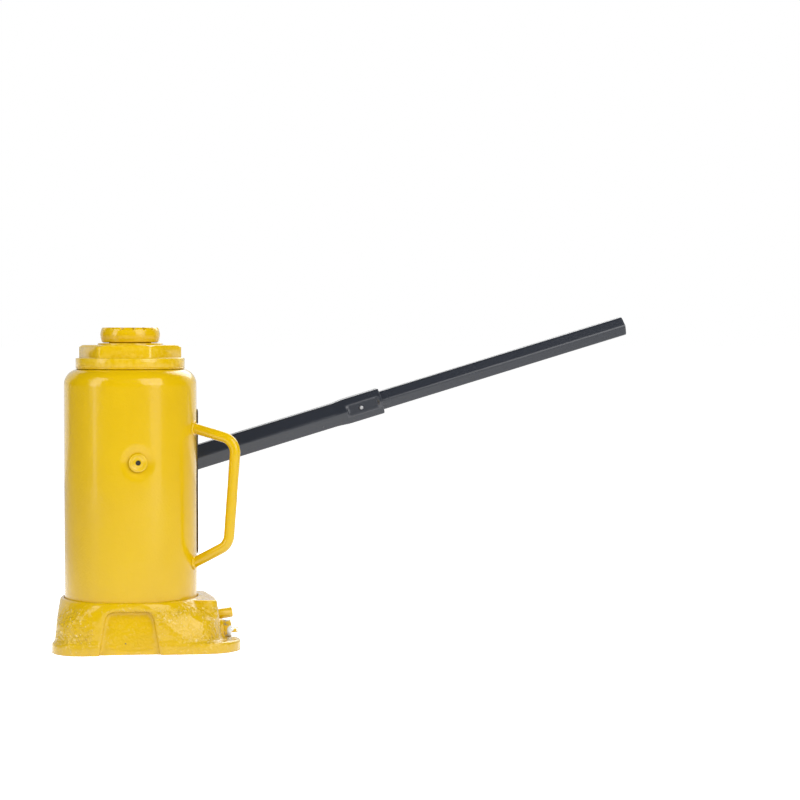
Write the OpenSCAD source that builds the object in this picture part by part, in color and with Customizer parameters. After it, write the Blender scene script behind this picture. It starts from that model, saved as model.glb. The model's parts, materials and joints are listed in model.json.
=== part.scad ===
// Hydraulic bottle jack with a welded carrying handle and a two-piece pump handle.
// The origin is on the floor, on the axis of the lifting ram. +Z is up, and +X points
// to the operator's end, where the release valve and the pump handle are.

/* [Overall] */
// Height from the floor to the top of the saddle, with the ram and the screw down
closed_h = 242; // [225:1:290]
// Outer diameter of the reservoir shell
shell_d = 100; // [96:1:120]
// Travel of the extension screw
screw_travel = 60; // [30:1:65]

/* [Base] */
// Height of the casting's lip round the shell
base_h = 38.5; // [36:0.5:44]
// Thickness of the foot flange
flange_t = 8; // [5:0.5:9]
// Wall of the lip outside the shell
lip_wall = 3; // [2:0.5:5]
// Length from the shell to the end of the foot at the operator's end
foot_reach = 28.9; // [22:0.1:34]
// Depth of the front pocket
pocket_depth = 3.5; // [2:0.5:5]

/* [Lift] */
// Bore of the pressure cylinder
cylinder_bore = 60; // [58:1:62]
// Wall of the pressure cylinder
cylinder_wall = 6; // [4:0.5:7]
// Diameter of the ram
ram_d = 48.9; // [44:0.1:56]
// Diameter of the extension screw
screw_d = 32; // [26:1:34]
// Widest diameter of the saddle
saddle_d = 45; // [38:1:52]
// Height of the saddle
saddle_h = 11.4; // [8:0.1:15]
// Number of notches across the saddle
saddle_notches = 16; // [8:2:24]

/* [Shell and top nut] */
// Wall of the reservoir shell
shell_wall = 2.5; // [2:0.5:4]
// Radius of the shell's shoulder
shoulder_r = 12; // [9:0.5:14]
// Distance across the flats of the top nut
nut_af = 68; // [64:1:74]
// Height of the nut's hexagon
nut_h = 9.8; // [8:0.1:14]
// Diameter of the nut's round collar
collar_d = 82.3; // [82:0.1:90]
// Height of the nut's round collar
collar_h = 7; // [5:0.5:10]

/* [Pump] */
// Distance of the pump from the ram, along X
pump_x = 44; // [42:1:54]
// Diameter of the pump plunger
plunger_d = 14; // [11:0.5:17]
// Wall of the pump cylinder
pump_wall = 6.9; // [5:0.1:8]
// Distance between the fulcrum pin and the plunger pin
lever_arm = 24; // [23:0.5:28]
// Distance between the two pins of the links
link_len = 59.1; // [58:0.1:75]
// Diameter of the pins
pin_d = 8; // [6:0.5:10]
// Thickness of a link plate
plate_t = 4; // [3:0.5:5]

/* [Pump handle] */
// Rise of the pump handle in degrees
handle_rise = 16.4; // [5:0.1:25]
// Distance across the flats of the lower tube
lower_af = 19; // [15:0.5:23]
// Wall of both tubes
tube_wall = 1.6; // [1.2:0.1:2]
// Length of the lower tube
lower_len = 232.2; // [160:0.1:280]
// Length of the upper tube
upper_len = 249; // [160:1:300]
// Length of the upper tube inside the lower tube
tube_overlap = 35; // [25:1:60]
// Wall of the socket that holds the handle
socket_wall = 3.3; // [2.5:0.1:5]

/* [Carrying handle] */
// Diameter of the bent bar
bar_d = 8; // [6:0.5:10]
// Direction of the bar round the shell in degrees
bar_turn = -25; // [-60:1:-10]
// Distance of the upper bend from the shell
grip_reach = 33; // [28:1:45]
// Height of the upper weld
weld_high_z = 166.5; // [150:0.5:175]
// Height of the lower weld
weld_low_z = 64; // [55:1:80]

/* [Hidden] */
$fn = 96;

// Clearances
run_gap = 0.05;      // shaft in its bearing, on the radius
seat_gap = 0.05;     // piece pressed or screwed into its seat, on the radius
free_gap = 0.3;      // pieces that pass each other
cut = 1;             // how far a cut runs past a face
yellow = [0.91, 0.74, 0.13];
dark_paint = [0.25, 0.26, 0.3];
steel = [0.62, 0.62, 0.64];
zinc = [0.78, 0.78, 0.76];
rubber = [0.08, 0.08, 0.08];
copper = [0.72, 0.45, 0.25];

// Reservoir and top nut
shell_r = shell_d / 2;
saddle_gap = 0.4;
ram_proud = 1.4;
gasket_t = 1;
nut_top = closed_h - saddle_h - saddle_gap - ram_proud;
collar_top = nut_top - nut_h;
collar_z = collar_top - collar_h;
shell_top = collar_z - gasket_t;
ram_top = nut_top + ram_proud;
saddle_z = ram_top + saddle_gap;
cylinder_r = cylinder_bore / 2 + cylinder_wall;
skirt_wall = 3.35;
skirt_r = cylinder_r + skirt_wall;
skirt_len = 15;
mouth_r = skirt_r + 0.4;
nut_turn = 46.4;
filler_z = 142;
filler_hole_r = 5;
wiper_r = ram_d / 2 + 3.6;
wiper_low = nut_top - 7;
wiper_high = nut_top - 3.5;

// Base
lip_r = shell_r + free_gap + lip_wall;
groove_z = base_h - 5.5;
shell_gasket_t = 1.5;
shell_z = groove_z + shell_gasket_t;
floor_z = groove_z + 1;
seat_z = 22;
chamber_z = seat_z + 1.5;
boss_top_x = shell_r + 11.2;
boss_low_x = shell_r + 16;
boss_top_z = base_h - 1;
low_inset = 2.2;
mid_inset = 3.2;
mid_z = 22;
wall_back = 10;      // how far the walls stand back from the flange at its front corner

// Ram
ram_r = ram_d / 2;
spigot_r = ram_r - 4.5;
stub_r = 12;
piston_low = 33.5;
piston_top = 46;
piston_r = cylinder_bore / 2 - 0.4;
ring_r = cylinder_bore / 2 - run_gap - 0.03;
wear_in_r = piston_r - 2.6;
wear_low = piston_low + 3;
wear_high = piston_low + 9;
screw_r = screw_d / 2;
ram_thread_len = 30;
screw_spare = 15;
screw_len = screw_travel + ram_thread_len + screw_spare;
stop_ring_t = 4;
stop_ring_r = screw_r + 1.2;
screw_low = saddle_z - screw_len;

// Handle socket and pump linkage
lower_ac = lower_af / cos(30);
socket_bore_r = lower_ac / 2 + 0.23;
socket_r = socket_bore_r + socket_wall;
lever_y = shell_r + socket_r + 2.5;
pin_r = pin_d / 2;
link_end_r = pin_r + 3;
link_half = 6;
lug_half = 5;
plate_gap = 0.3;
plate_in = lug_half + plate_gap;
plate_out = plate_in + plate_t;
pin_half = plate_out + 3;
pin_neck_r = pin_r - 0.8;
clip_t = 1;
arm_rise = 6;
lever_swing = 24;
// Shortening of the arm at both ends of the swing, halved: the plunger pin starts this far
// outside the plunger's axis, and ends as far inside it
arm_mean = (cos(arm_rise + lever_swing) + cos(arm_rise - lever_swing)) / 2;
pin_offset = lever_arm * (cos(arm_rise) - arm_mean) / 2;
slot_slack = 0.45;
fulcrum_x = pump_x + pin_offset - lever_arm * cos(arm_rise);
link_base_z = base_h + link_end_r + 1;
fulcrum_z = link_base_z + link_len;
socket_drop = sqrt(pow(socket_r, 2) - pow(plate_in, 2)) + link_end_r + 1;
arm_angle = arm_rise - handle_rise;
ear_x = lever_arm * cos(arm_angle);
ear_z = lever_arm * sin(arm_angle);
eye_z = fulcrum_z + lever_arm * sin(arm_rise);
socket_back = -36;
socket_mouth = 37;
socket_floor = -31;
lower_start = socket_floor + 0.4;
lower_end = lower_start + lower_len;
upper_start = lower_end - tube_overlap;
swage_len = 34;
swage_af = lower_af + 1.7;
recess_at = swage_af / 2 - 0.7;
lower_in_af = lower_af - 2 * tube_wall;
upper_af = lower_in_af - 0.8;

// Pump
plunger_r = plunger_d / 2;
pump_bore_r = plunger_r + 0.08;
pump_r = pump_bore_r + pump_wall;
pump_boss_r = pump_r + 5;
pump_boss_z = base_h - 8;
pump_top = 84;
pump_neck_r = pump_r - 3;
pump_neck_z = 78;
gland_top = 88;
gland_af = pump_r * 2 + 0.4;
plunger_low = 37;
cup_low = 39;
cup_high = 43;
cup_in_r = plunger_r - 1.8;
rod_wiper_r = plunger_r + 2.4;
rod_wiper_low = pump_top + 0.2;
rod_wiper_high = gland_top - 2;
eye_r = pin_r + 5;

// Valves
ball_r = 4;
seat_r = 2.5;
seat_rise = sqrt(pow(ball_r, 2) - pow(seat_r, 2));
cage_r = ball_r + 0.6;
inlet_seat_z = 13;
outlet_seat_z = 18;
outlet_at = [fulcrum_x - 9, lever_y - 7];
plug_low = 0.6;
plug_high = 5;
plug_r = 7;
release_y = -14;
release_z = 12;
release_af = 14;
release_ball_r = 3.5;
release_seat_r = 2;
release_seat_x = 38;
release_ball_x = release_seat_x + sqrt(pow(release_ball_r, 2) - pow(release_seat_r, 2));
release_cage_r = 4.6;
gland_body_r = 6.4;
gland_body_len = 13;
gland_face_x = boss_low_x + 1.9;
gland_end_x = gland_face_x + 6;
spot_r = release_af / 2 / cos(30) + 1.1;
spindle_r = 4;
spindle_end_x = gland_end_x + 6.6;
safety_tilt = 8;
safety_x = boss_top_x + 3;
safety_z = 22;
safety_r = 4;
safety_ball_r = 2.5;
safety_seat_r = 1.5;
safety_bore_len = 19;
safety_plug_at = -6;
safety_ball_at = -safety_bore_len + sqrt(pow(safety_ball_r, 2) - pow(safety_seat_r, 2));
strainer_turn = 54;
strainer_at = (cylinder_r + shell_r - shell_wall) / 2;
strainer_xy = [strainer_at * cos(strainer_turn), strainer_at * sin(strainer_turn)];

// Carrying handle, in the plane of its bar: distance from the ram axis, then height
bar_r = bar_d / 2;
bar_bend_r = 12;
bar_foot = shell_r - 1;
bar_points = [
    [bar_foot, weld_high_z],
    [shell_r + grip_reach, weld_high_z - 9.5],
    [shell_r + grip_reach - 6, weld_low_z + 14.5],
    [bar_foot, weld_low_z]
];

// Foot outline: centre and radius of each corner
foot_corners = [
    [-(shell_r - 13.2), -26, 25],
    [shell_r + foot_reach - 28, -31, 28],
    [-(shell_r - 21), 34, 22],
    [pump_x, lever_y, pump_boss_r],
    [fulcrum_x, lever_y, pump_boss_r]
];

module ring(r_out, r_in, low, high) {
    translate([0, 0, low])
        difference() {
            cylinder(h = high - low, r = r_out);
            translate([0, 0, -cut]) cylinder(h = high - low + 2 * cut, r = r_in);
        }
}

module post(at, r, low, high) {
    translate([at[0], at[1], low]) cylinder(h = high - low, r = r);
}

// Straight round drilling or bar between two points
module rod(p, q, r) {
    v = q - p;
    len_xy = norm([v[0], v[1]]);
    translate(p)
        rotate([0, atan2(len_xy, v[2]), atan2(v[1], v[0])])
            cylinder(h = norm(v), r = r);
}

// Prism with six flats along Z
module hexagon(af, low, high, turn = 0) {
    translate([0, 0, low])
        rotate([0, 0, turn])
            cylinder(h = high - low, r = af / 2 / cos(30), $fn = 6);
}

// Ring-shaped seal with a round section
module o_ring(mid_r, wire_r) {
    rotate_extrude() translate([mid_r, 0]) circle(r = wire_r, $fn = 48);
}

// Heading of the polyline after point i, turn at point i, and length that a bend takes there
function heading(pts, i) = atan2(pts[i + 1][1] - pts[i][1], pts[i + 1][0] - pts[i][0]);
function turn_at(pts, i) =
    i <= 0 || i >= len(pts) - 1
        ? 0
        : ((heading(pts, i) - heading(pts, i - 1) + 540) % 360) - 180;
function trim(pts, i, bend_r) = bend_r * tan(abs(turn_at(pts, i)) / 2);

// Stations along a polyline with rounded corners: distance, height and heading of each
function bend_stations(pts, i, bend_r, steps) =
    let (
        a = heading(pts, i - 1),
        t = turn_at(pts, i),
        side = t > 0 ? 1 : -1,
        start = pts[i] - trim(pts, i, bend_r) * [cos(a), sin(a)],
        centre = start + bend_r * side * [-sin(a), cos(a)]
    )
    [for (k = [0 : steps])
        let (b = a + t * k / steps)
        [centre[0] + side * bend_r * sin(b), centre[1] - side * bend_r * cos(b), b]];

// Round bar swept in the XZ plane along points, with one bend radius
module bent_bar(pts, r, bend_r) {
    sides = 16;
    steps = 8;
    n = len(pts);
    inner = [for (i = [1 : n - 2]) each bend_stations(pts, i, bend_r, steps)];
    stations = concat(
        [[pts[0][0], pts[0][1], heading(pts, 0)]],
        inner,
        [[pts[n - 1][0], pts[n - 1][1], heading(pts, n - 2)]]
    );
    last = len(stations) - 1;
    points = [for (s = stations, k = [0 : sides - 1])
        let (c = 360 * k / sides)
        [s[0] - r * cos(c) * sin(s[2]), r * sin(c), s[1] + r * cos(c) * cos(s[2])]];
    walls = [for (j = [0 : last - 1], k = [0 : sides - 1])
        let (m = (k + 1) % sides)
        [j * sides + k, j * sides + m, (j + 1) * sides + m, (j + 1) * sides + k]];
    first_cap = [for (k = [sides - 1 : -1 : 0]) k];
    last_cap = [for (k = [0 : sides - 1]) last * sides + k];
    polyhedron(points, concat(walls, [first_cap, last_cap]), convexity = 6);
}

module foot_outline(inset, back = 0) {
    hull()
        for (i = [0 : len(foot_corners) - 1])
            translate([foot_corners[i][0] - (i == 1 ? back : 0), foot_corners[i][1]])
                circle(r = foot_corners[i][2] - inset, $fn = 48);
}

// The part of the outline under the shell, without the pump's end
module foot_outline_front() {
    hull()
        for (i = [0 : 2])
            translate([foot_corners[i][0] - (i == 1 ? wall_back + 1 : 0), foot_corners[i][1]])
                circle(r = foot_corners[i][2] - (i == 1 ? 2.2 : 1) * mid_inset, $fn = 48);
}

module release_frame() {
    translate([0, release_y, release_z]) rotate([0, 90, 0]) children();
}

module safety_frame() {
    translate([safety_x, 0, safety_z]) rotate([0, 90 - safety_tilt, 0]) children();
}

module lever_frame() {
    translate([fulcrum_x, lever_y, fulcrum_z]) rotate([0, -handle_rise, 0]) children();
}

module handle_frame() {
    lever_frame() translate([0, 0, socket_drop]) rotate([0, 90, 0]) children();
}

module across(at_x, at_z, r, half) {
    translate([at_x, half, at_z]) rotate([90, 0, 0]) cylinder(h = 2 * half, r = r);
}

module bar_frame() {
    rotate([0, 0, bar_turn]) children();
}

// Base casting ------------------------------------------------------------

module operator_boss() {
    hull()
        for (y = [-30, 24], level = [0, 1])
            translate([(level ? boss_top_x : boss_low_x) - 8, y, level ? boss_top_z - 1 : 0])
                cylinder(h = 1, r = 8, $fn = 32);
}

module boss_root() {
    hull() {
        translate([shell_r - 8, -10, 0]) cylinder(h = boss_top_z, r = 20, $fn = 32);
        operator_boss();
    }
}

// Leans outward towards the floor
module front_pocket() {
    pocket_x = -2;
    pocket_low = 24;
    pocket_top = 18;
    pocket_round = 6;
    pocket_lean = 4;
    rotate([0, 0, -5.4])
        translate([pocket_x, -shell_r + pocket_depth - 2, groove_z - 1.5])
            rotate([90 - pocket_lean, 0, 0])
                linear_extrude(height = 40)
                    hull() {
                        translate([-pocket_low, -base_h - 4]) square([2 * pocket_low, cut]);
                        for (side = [-1, 1])
                            translate([side * (pocket_top - pocket_round), -pocket_round])
                                circle(r = pocket_round, $fn = 32);
                    }
}

// Ways drilled level are narrower than the upright ones that they run into
module base_drillings() {
    feed_z = 8;
    lift_xy = [12, 20];
    gallery_z = 12;
    cross_z = outlet_seat_z + 2.3;
    low_z = 14;
    vent_z = safety_z + 0.5;
    vent_x = 41;
    relief_x = shell_r + 1;
    safety_way_x = 44;
    level_r = 1.5;
    upright_r = 2.2;
    overrun = 1.2;
    // Inlet valve under the pump, and its feed from the reservoir
    post([pump_x, lever_y], plug_r, plug_low - 2 * cut, plug_high);
    post([pump_x, lever_y], seat_r, plug_high - cut, inlet_seat_z + cut);
    post([pump_x, lever_y], cage_r, inlet_seat_z, seat_z + cut);
    post(strainer_xy, seat_r, feed_z - seat_r - overrun, floor_z + cut);
    rod([strainer_xy[0], strainer_xy[1], feed_z], [pump_x, lever_y, feed_z], level_r);
    // Outlet valve, and its way to the pressure cylinder
    post(outlet_at, plug_r, plug_low - 2 * cut, plug_high);
    post(outlet_at, cage_r, plug_high - cut, outlet_seat_z);
    post(outlet_at, seat_r, outlet_seat_z - cut, cross_z + level_r + overrun);
    rod([outlet_at[0], outlet_at[1], cross_z], [pump_x, lever_y, cross_z], level_r);
    rod([outlet_at[0], outlet_at[1], gallery_z], [lift_xy[0], lift_xy[1], gallery_z], level_r);
    post(lift_xy, upright_r, gallery_z - level_r - overrun, seat_z + cut);
    // Release valve: bore, seat, way from the pressure cylinder and way back to the reservoir
    release_frame() {
        translate([0, 0, release_seat_x]) cylinder(h = 100, r = release_cage_r);
        translate([0, 0, gland_face_x - gland_body_len]) cylinder(h = 100, r = gland_body_r + seat_gap);
        translate([0, 0, gland_face_x]) cylinder(h = 30, r = spot_r);
        translate([0, 0, 20]) cylinder(h = 30, r = release_seat_r);
    }
    post([20, release_y], release_seat_r + 0.5, release_z - release_seat_r - overrun, seat_z + cut);
    post([42, release_y], upright_r, release_z, floor_z + cut);
    // Safety valve: bore, seat, way from the pressure cylinder and vent to the reservoir
    safety_frame() {
        translate([0, 0, -safety_bore_len]) cylinder(h = 40, r = safety_r + seat_gap);
        translate([0, 0, -safety_bore_len - 5]) cylinder(h = 10, r = safety_seat_r);
    }
    post([safety_way_x, 0], upright_r, low_z - level_r - overrun, safety_z - 2.5);
    rod([safety_way_x, 0, low_z], [24, 0, low_z], level_r);
    post([24, 0], upright_r, low_z - level_r - overrun, seat_z + cut);
    rod([relief_x, 0, vent_z], [relief_x, 9, vent_z], level_r);
    rod([relief_x + 2.5, 8, vent_z], [vent_x, 8, vent_z], level_r - 0.2);
    post([vent_x, 8], upright_r - 0.4, vent_z - level_r - overrun, floor_z + cut);
}

module base_casting() {
    color(yellow)
        difference() {
            union() {
                linear_extrude(height = flange_t) foot_outline(0);
                hull() {
                    linear_extrude(height = 1) foot_outline(low_inset, wall_back);
                    translate([0, 0, mid_z]) linear_extrude(height = 1) foot_outline_front();
                    post([0, 0], lip_r, base_h - 1, base_h);
                }
                boss_root();
                release_frame()
                    translate([0, 0, boss_top_x - 10])
                        cylinder(h = gland_face_x - boss_top_x + 11, r = spot_r - 0.4);
                post([pump_x, lever_y], pump_boss_r, 0, pump_boss_z);
                translate([fulcrum_x - link_end_r, lever_y - lug_half, 1])
                    cube([2 * link_end_r, 2 * lug_half, link_base_z - 1]);
                translate([0, lever_y, 0]) across(fulcrum_x, link_base_z, link_end_r, lug_half);
            }
            // Seats for the shell, the pressure cylinder and the pump
            ring(shell_r + free_gap, shell_r - shell_wall - free_gap, groove_z, base_h + cut);
            post([0, 0], shell_r - shell_wall - 0.2, floor_z, base_h + cut);
            post([0, 0], cylinder_r + seat_gap, seat_z, base_h + cut);
            post([pump_x, lever_y], pump_r + seat_gap, seat_z, base_h + cut);
            translate([0, lever_y, 0]) across(fulcrum_x, link_base_z, pin_r + run_gap, lug_half + cut);
            front_pocket();
            base_drillings();
        }
}

// Reservoir and cylinder --------------------------------------------------

module pressure_cylinder() {
    color(steel) ring(cylinder_r, cylinder_bore / 2, chamber_z, collar_z + 0.5);
}

module cylinder_gasket() {
    color(copper) ring(cylinder_r, cylinder_bore / 2 + 0.5, seat_z, chamber_z);
}

module shell_outline(inset) {
    square([shell_r - inset, shell_top - shell_z - shoulder_r]);
    square([shell_r - shoulder_r, shell_top - shell_z - inset]);
    translate([shell_r - shoulder_r, shell_top - shell_z - shoulder_r])
        circle(r = shoulder_r - inset);
}

module reservoir_shell() {
    dimple_r = 40;
    dimple_depth = 1.5;
    color(yellow)
        difference() {
            translate([0, 0, shell_z])
                rotate_extrude()
                    difference() {
                        intersection() {
                            shell_outline(0);
                            square([shell_d, closed_h]);
                        }
                        translate([0, -cut]) square([shell_r - shell_wall, cut + 1]);
                        shell_outline(shell_wall);
                        square([mouth_r, closed_h]);
                    }
            translate([0, -shell_r + dimple_depth - dimple_r, filler_z]) sphere(r = dimple_r);
            translate([0, -shell_r + 10, filler_z])
                rotate([90, 0, 0]) cylinder(h = 20, r = filler_hole_r + run_gap);
        }
}

module shell_base_gasket() {
    color(rubber) ring(shell_r, shell_r - shell_wall, groove_z, shell_z);
}

module shell_top_gasket() {
    color(rubber) ring(collar_d / 2 - 0.3, mouth_r, shell_top, collar_z);
}

module top_nut() {
    chamfer = 1.5;
    corner_r = nut_af / 2 / cos(30);
    color(yellow)
        difference() {
            union() {
                intersection() {
                    hexagon(nut_af, collar_top, nut_top, nut_turn);
                    rotate_extrude()
                        polygon([
                            [0, collar_top - cut],
                            [corner_r - 0.6, collar_top - cut],
                            [corner_r - 0.6, nut_top - chamfer],
                            [corner_r - 0.6 - 2 * chamfer, nut_top],
                            [0, nut_top]
                        ]);
                }
                post([0, 0], collar_d / 2, collar_z, collar_top);
                post([0, 0], skirt_r, collar_z - skirt_len, collar_z);
            }
            post([0, 0], cylinder_r + seat_gap, collar_z - skirt_len - cut, collar_z + 0.7);
            post([0, 0], ram_r + run_gap, collar_z, nut_top + cut);
            post([0, 0], wiper_r, wiper_low, wiper_high);
        }
}

module ram_wiper_seal() {
    color(rubber) ring(wiper_r, ram_r + run_gap, wiper_low, wiper_high);
}

module carry_handle() {
    color(yellow) bar_frame() bent_bar(bar_points, bar_r, bar_bend_r);
}

// One weld bead round each foot of the bar
module handle_welds() {
    bead_r = 1.9;
    color(yellow)
        bar_frame()
            for (i = [0, 3]) {
                p = bar_points[i];
                q = bar_points[i == 0 ? 1 : 2];
                translate([shell_r + 0.4, 0, p[1] + (q[1] - p[1]) * 1.4 / (q[0] - p[0])])
                    rotate([0, 90, 0])
                        o_ring(bar_r + 0.6, bead_r);
            }
}

// Blank plate that carries no marking
module label_plate() {
    plate_low = 70;
    plate_high = 180;
    plate_thick = 1.1;
    from_turn = -8;
    to_turn = 45;
    color(dark_paint)
        rotate([0, 0, from_turn])
            translate([0, 0, plate_low])
                rotate_extrude(angle = to_turn - from_turn)
                    translate([shell_r + 0.05, 0])
                        square([plate_thick, plate_high - plate_low]);
}

module filler_plug() {
    head_r = 7;
    color(yellow)
        translate([0, 0, filler_z])
            rotate([90, 0, 0])
                rotate_extrude()
                    polygon([
                        [2, shell_r + 1.2],
                        [2, shell_r - 2],
                        [0, shell_r - 2],
                        [0, shell_r - 6],
                        [filler_hole_r - 0.6, shell_r - 6],
                        [filler_hole_r - 0.02, shell_r - 4],
                        [filler_hole_r - 0.02, shell_r - 1.1],
                        [head_r, shell_r - 0.8],
                        [head_r, shell_r],
                        [head_r - 1.4, shell_r + 1.2]
                    ]);
}

// Lifting ram and extension screw -----------------------------------------

module ram_tube() {
    color(yellow)
        difference() {
            union() {
                post([0, 0], ram_r, piston_top, ram_top);
                post([0, 0], spigot_r, piston_low, piston_top);
                post([0, 0], stub_r, piston_low - 9, piston_low);
            }
            post([0, 0], stop_ring_r + 0.3, piston_top + 6, ram_top - ram_thread_len);
            post([0, 0], screw_r + run_gap, piston_top + 8, ram_top + cut);
        }
}

module ram_piston() {
    color(steel)
        difference() {
            ring(piston_r, spigot_r + seat_gap, piston_low, piston_top);
            ring(piston_r + cut, wear_in_r, wear_low, wear_high);
        }
}

module piston_wear_ring() {
    color(copper) ring(ring_r, wear_in_r, wear_low, wear_high);
}

module piston_cup_seal() {
    lip_t = 2.4;
    seal_t = 5.5;
    color(rubber)
        translate([0, 0, piston_low - seal_t])
            rotate_extrude()
                polygon([
                    [stub_r + seat_gap, lip_t],
                    [ring_r - lip_t - 1, lip_t],
                    [ring_r - lip_t, 0],
                    [ring_r, 0],
                    [ring_r, seal_t],
                    [stub_r + seat_gap, seal_t]
                ]);
}

module piston_retaining_nut() {
    color(steel)
        difference() {
            hexagon(36, piston_low - 9, piston_low - 3.1);
            post([0, 0], stub_r + seat_gap, piston_low - 10, piston_low);
        }
}

module screw_stop_ring() {
    color(steel) ring(stop_ring_r, screw_r - 2.4, screw_low, screw_low + stop_ring_t);
}

module extension_screw() {
    saddle_r = saddle_d / 2;
    notch_w = 2.2;
    notch_h = 1.6;
    land_r = saddle_r * 0.45;
    color(yellow)
        difference() {
            union() {
                post([0, 0], screw_r, screw_low + stop_ring_t + 0.2, saddle_z);
                post([0, 0], screw_r - 2.6, screw_low, saddle_z);
                translate([0, 0, saddle_z])
                    rotate_extrude()
                        polygon([
                            [0, 0],
                            [saddle_r - 2, 0],
                            [saddle_r - 0.4, saddle_h * 0.25],
                            [saddle_r, saddle_h * 0.5],
                            [saddle_r - 0.4, saddle_h * 0.75],
                            [saddle_r - 1.6, saddle_h],
                            [0, saddle_h]
                        ]);
            }
            for (i = [0 : saddle_notches - 1])
                rotate([0, 0, i * 360 / saddle_notches])
                    translate([land_r, -notch_w / 2, closed_h - notch_h])
                        cube([saddle_r, notch_w, notch_h + cut]);
        }
}

// Pump --------------------------------------------------------------------

module pump_gasket() {
    color(copper) translate([pump_x, lever_y, 0]) ring(pump_r, pump_bore_r + 0.5, seat_z, chamber_z);
}

module pump_cylinder() {
    color(yellow)
        translate([pump_x, lever_y, 0])
            difference() {
                union() {
                    post([0, 0], pump_r, chamber_z, pump_neck_z);
                    post([0, 0], pump_neck_r, pump_neck_z, pump_top);
                }
                post([0, 0], pump_bore_r, chamber_z - cut, pump_top + cut);
            }
}

module pump_gland_nut() {
    color(yellow)
        translate([pump_x, lever_y, 0])
            difference() {
                hexagon(gland_af, pump_neck_z, gland_top, 30);
                post([0, 0], pump_neck_r + seat_gap, pump_neck_z - cut, rod_wiper_low);
                post([0, 0], rod_wiper_r, pump_top, rod_wiper_high);
                post([0, 0], pump_bore_r, pump_top, gland_top + cut);
            }
}

module plunger_wiper() {
    color(rubber)
        translate([pump_x, lever_y, 0])
            ring(rod_wiper_r, plunger_r + run_gap, rod_wiper_low, rod_wiper_high);
}

module pump_plunger() {
    slot_half = pin_offset + slot_slack;
    color(steel)
        translate([pump_x, lever_y, 0])
            difference() {
                union() {
                    post([0, 0], plunger_r, cup_high, eye_z - eye_r + 0.3);
                    post([0, 0], cup_in_r, plunger_low, cup_high);
                    post([0, 0], plunger_r, plunger_low, cup_low);
                    intersection() {
                        post([0, 0], plunger_r, eye_z - eye_r - cut, eye_z);
                        translate([-20, -lug_half, eye_z - eye_r - cut]) cube([40, 2 * lug_half, eye_r]);
                    }
                    across(0, eye_z, eye_r, lug_half);
                }
                for (side = [-1, 1])
                    across(side * slot_half, eye_z, pin_r + slot_slack, lug_half + cut);
                translate([-slot_half, -lug_half - cut, eye_z - pin_r - slot_slack])
                    cube([2 * slot_half, 2 * lug_half + 2 * cut, 2 * pin_r + 2 * slot_slack]);
            }
}

module plunger_cup_seal() {
    color(rubber)
        translate([pump_x, lever_y, 0])
            ring(plunger_r + 0.03, cup_in_r, cup_low, cup_high);
}

// Valves in the base --------------------------------------------------------

module release_gland_nut() {
    color(zinc)
        release_frame()
            difference() {
                union() {
                    hexagon(release_af, gland_face_x, gland_end_x);
                    translate([0, 0, gland_face_x - gland_body_len + 0.2])
                        cylinder(h = gland_body_len, r = gland_body_r);
                }
                cylinder(h = 120, r = spindle_r + run_gap);
            }
}

module release_spindle() {
    nose_x = release_ball_x + release_ball_r;
    groove_from = gland_face_x - 18;
    tang_t = 3.2;
    color(zinc)
        release_frame()
            difference() {
                union() {
                    translate([0, 0, nose_x]) cylinder(h = groove_from - nose_x, r = 3);
                    translate([0, 0, groove_from])
                        cylinder(h = spindle_end_x - groove_from, r = spindle_r);
                }
                for (side = [-1, 1])
                    translate([side * (tang_t / 2 + 5) - 5, -10, gland_end_x + 0.6])
                        cube([10, 20, 20]);
            }
}

module release_oring() {
    color(rubber)
        release_frame()
            translate([0, 0, gland_face_x - 19.2]) o_ring(3.8, 0.7);
}

module release_ball() {
    color(steel) translate([release_ball_x, release_y, release_z]) sphere(r = release_ball_r);
}

module suction_strainer() {
    color(steel)
        translate([strainer_xy[0], strainer_xy[1], floor_z])
            difference() {
                cylinder(h = 10, r = 4);
                translate([0, 0, -cut]) cylinder(h = 10, r = 3);
            }
}

module inlet_check_ball() {
    color(steel) translate([pump_x, lever_y, inlet_seat_z + seat_rise]) sphere(r = ball_r);
}

module inlet_valve_plug() {
    color(steel) post([pump_x, lever_y], plug_r - seat_gap, plug_low, plug_high);
}

module outlet_check_ball() {
    color(steel)
        translate([outlet_at[0], outlet_at[1], outlet_seat_z - seat_rise]) sphere(r = ball_r);
}

module outlet_valve_spring() {
    spring_in_r = 2.7;
    ball_at = outlet_seat_z - seat_rise;
    color(steel)
        translate([outlet_at[0], outlet_at[1], 0])
            ring(3.4, spring_in_r, plug_high, ball_at - sqrt(pow(ball_r, 2) - pow(spring_in_r, 2)));
}

module outlet_valve_plug() {
    color(steel) post(outlet_at, plug_r - seat_gap, plug_low, plug_high);
}

module safety_valve_ball() {
    color(steel)
        safety_frame() translate([0, 0, safety_ball_at]) sphere(r = safety_ball_r);
}

module safety_valve_spring() {
    spring_in_r = 1.9;
    color(steel)
        safety_frame()
            ring(2.8, spring_in_r, safety_ball_at + sqrt(pow(safety_ball_r, 2) - pow(spring_in_r, 2)),
                safety_plug_at);
}

module safety_valve_plug() {
    color(yellow)
        safety_frame() translate([0, 0, safety_plug_at]) cylinder(h = 19.2, r = safety_r);
}

// Pump linkage --------------------------------------------------------------

module link_plate(side) {
    mid = side * (plate_in + plate_out) / 2;
    color(yellow)
        translate([0, lever_y + mid, 0])
            difference() {
                union() {
                    across(fulcrum_x, link_base_z, link_end_r, plate_t / 2);
                    across(fulcrum_x, fulcrum_z, link_end_r, plate_t / 2);
                    translate([fulcrum_x - link_half, -plate_t / 2, link_base_z])
                        cube([2 * link_half, plate_t, link_len]);
                }
                across(fulcrum_x, link_base_z, pin_r, plate_t);
                across(fulcrum_x, fulcrum_z, pin_r, plate_t);
            }
}

module link_plate_inner() {
    link_plate(-1);
}

module link_plate_outer() {
    link_plate(1);
}

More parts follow.
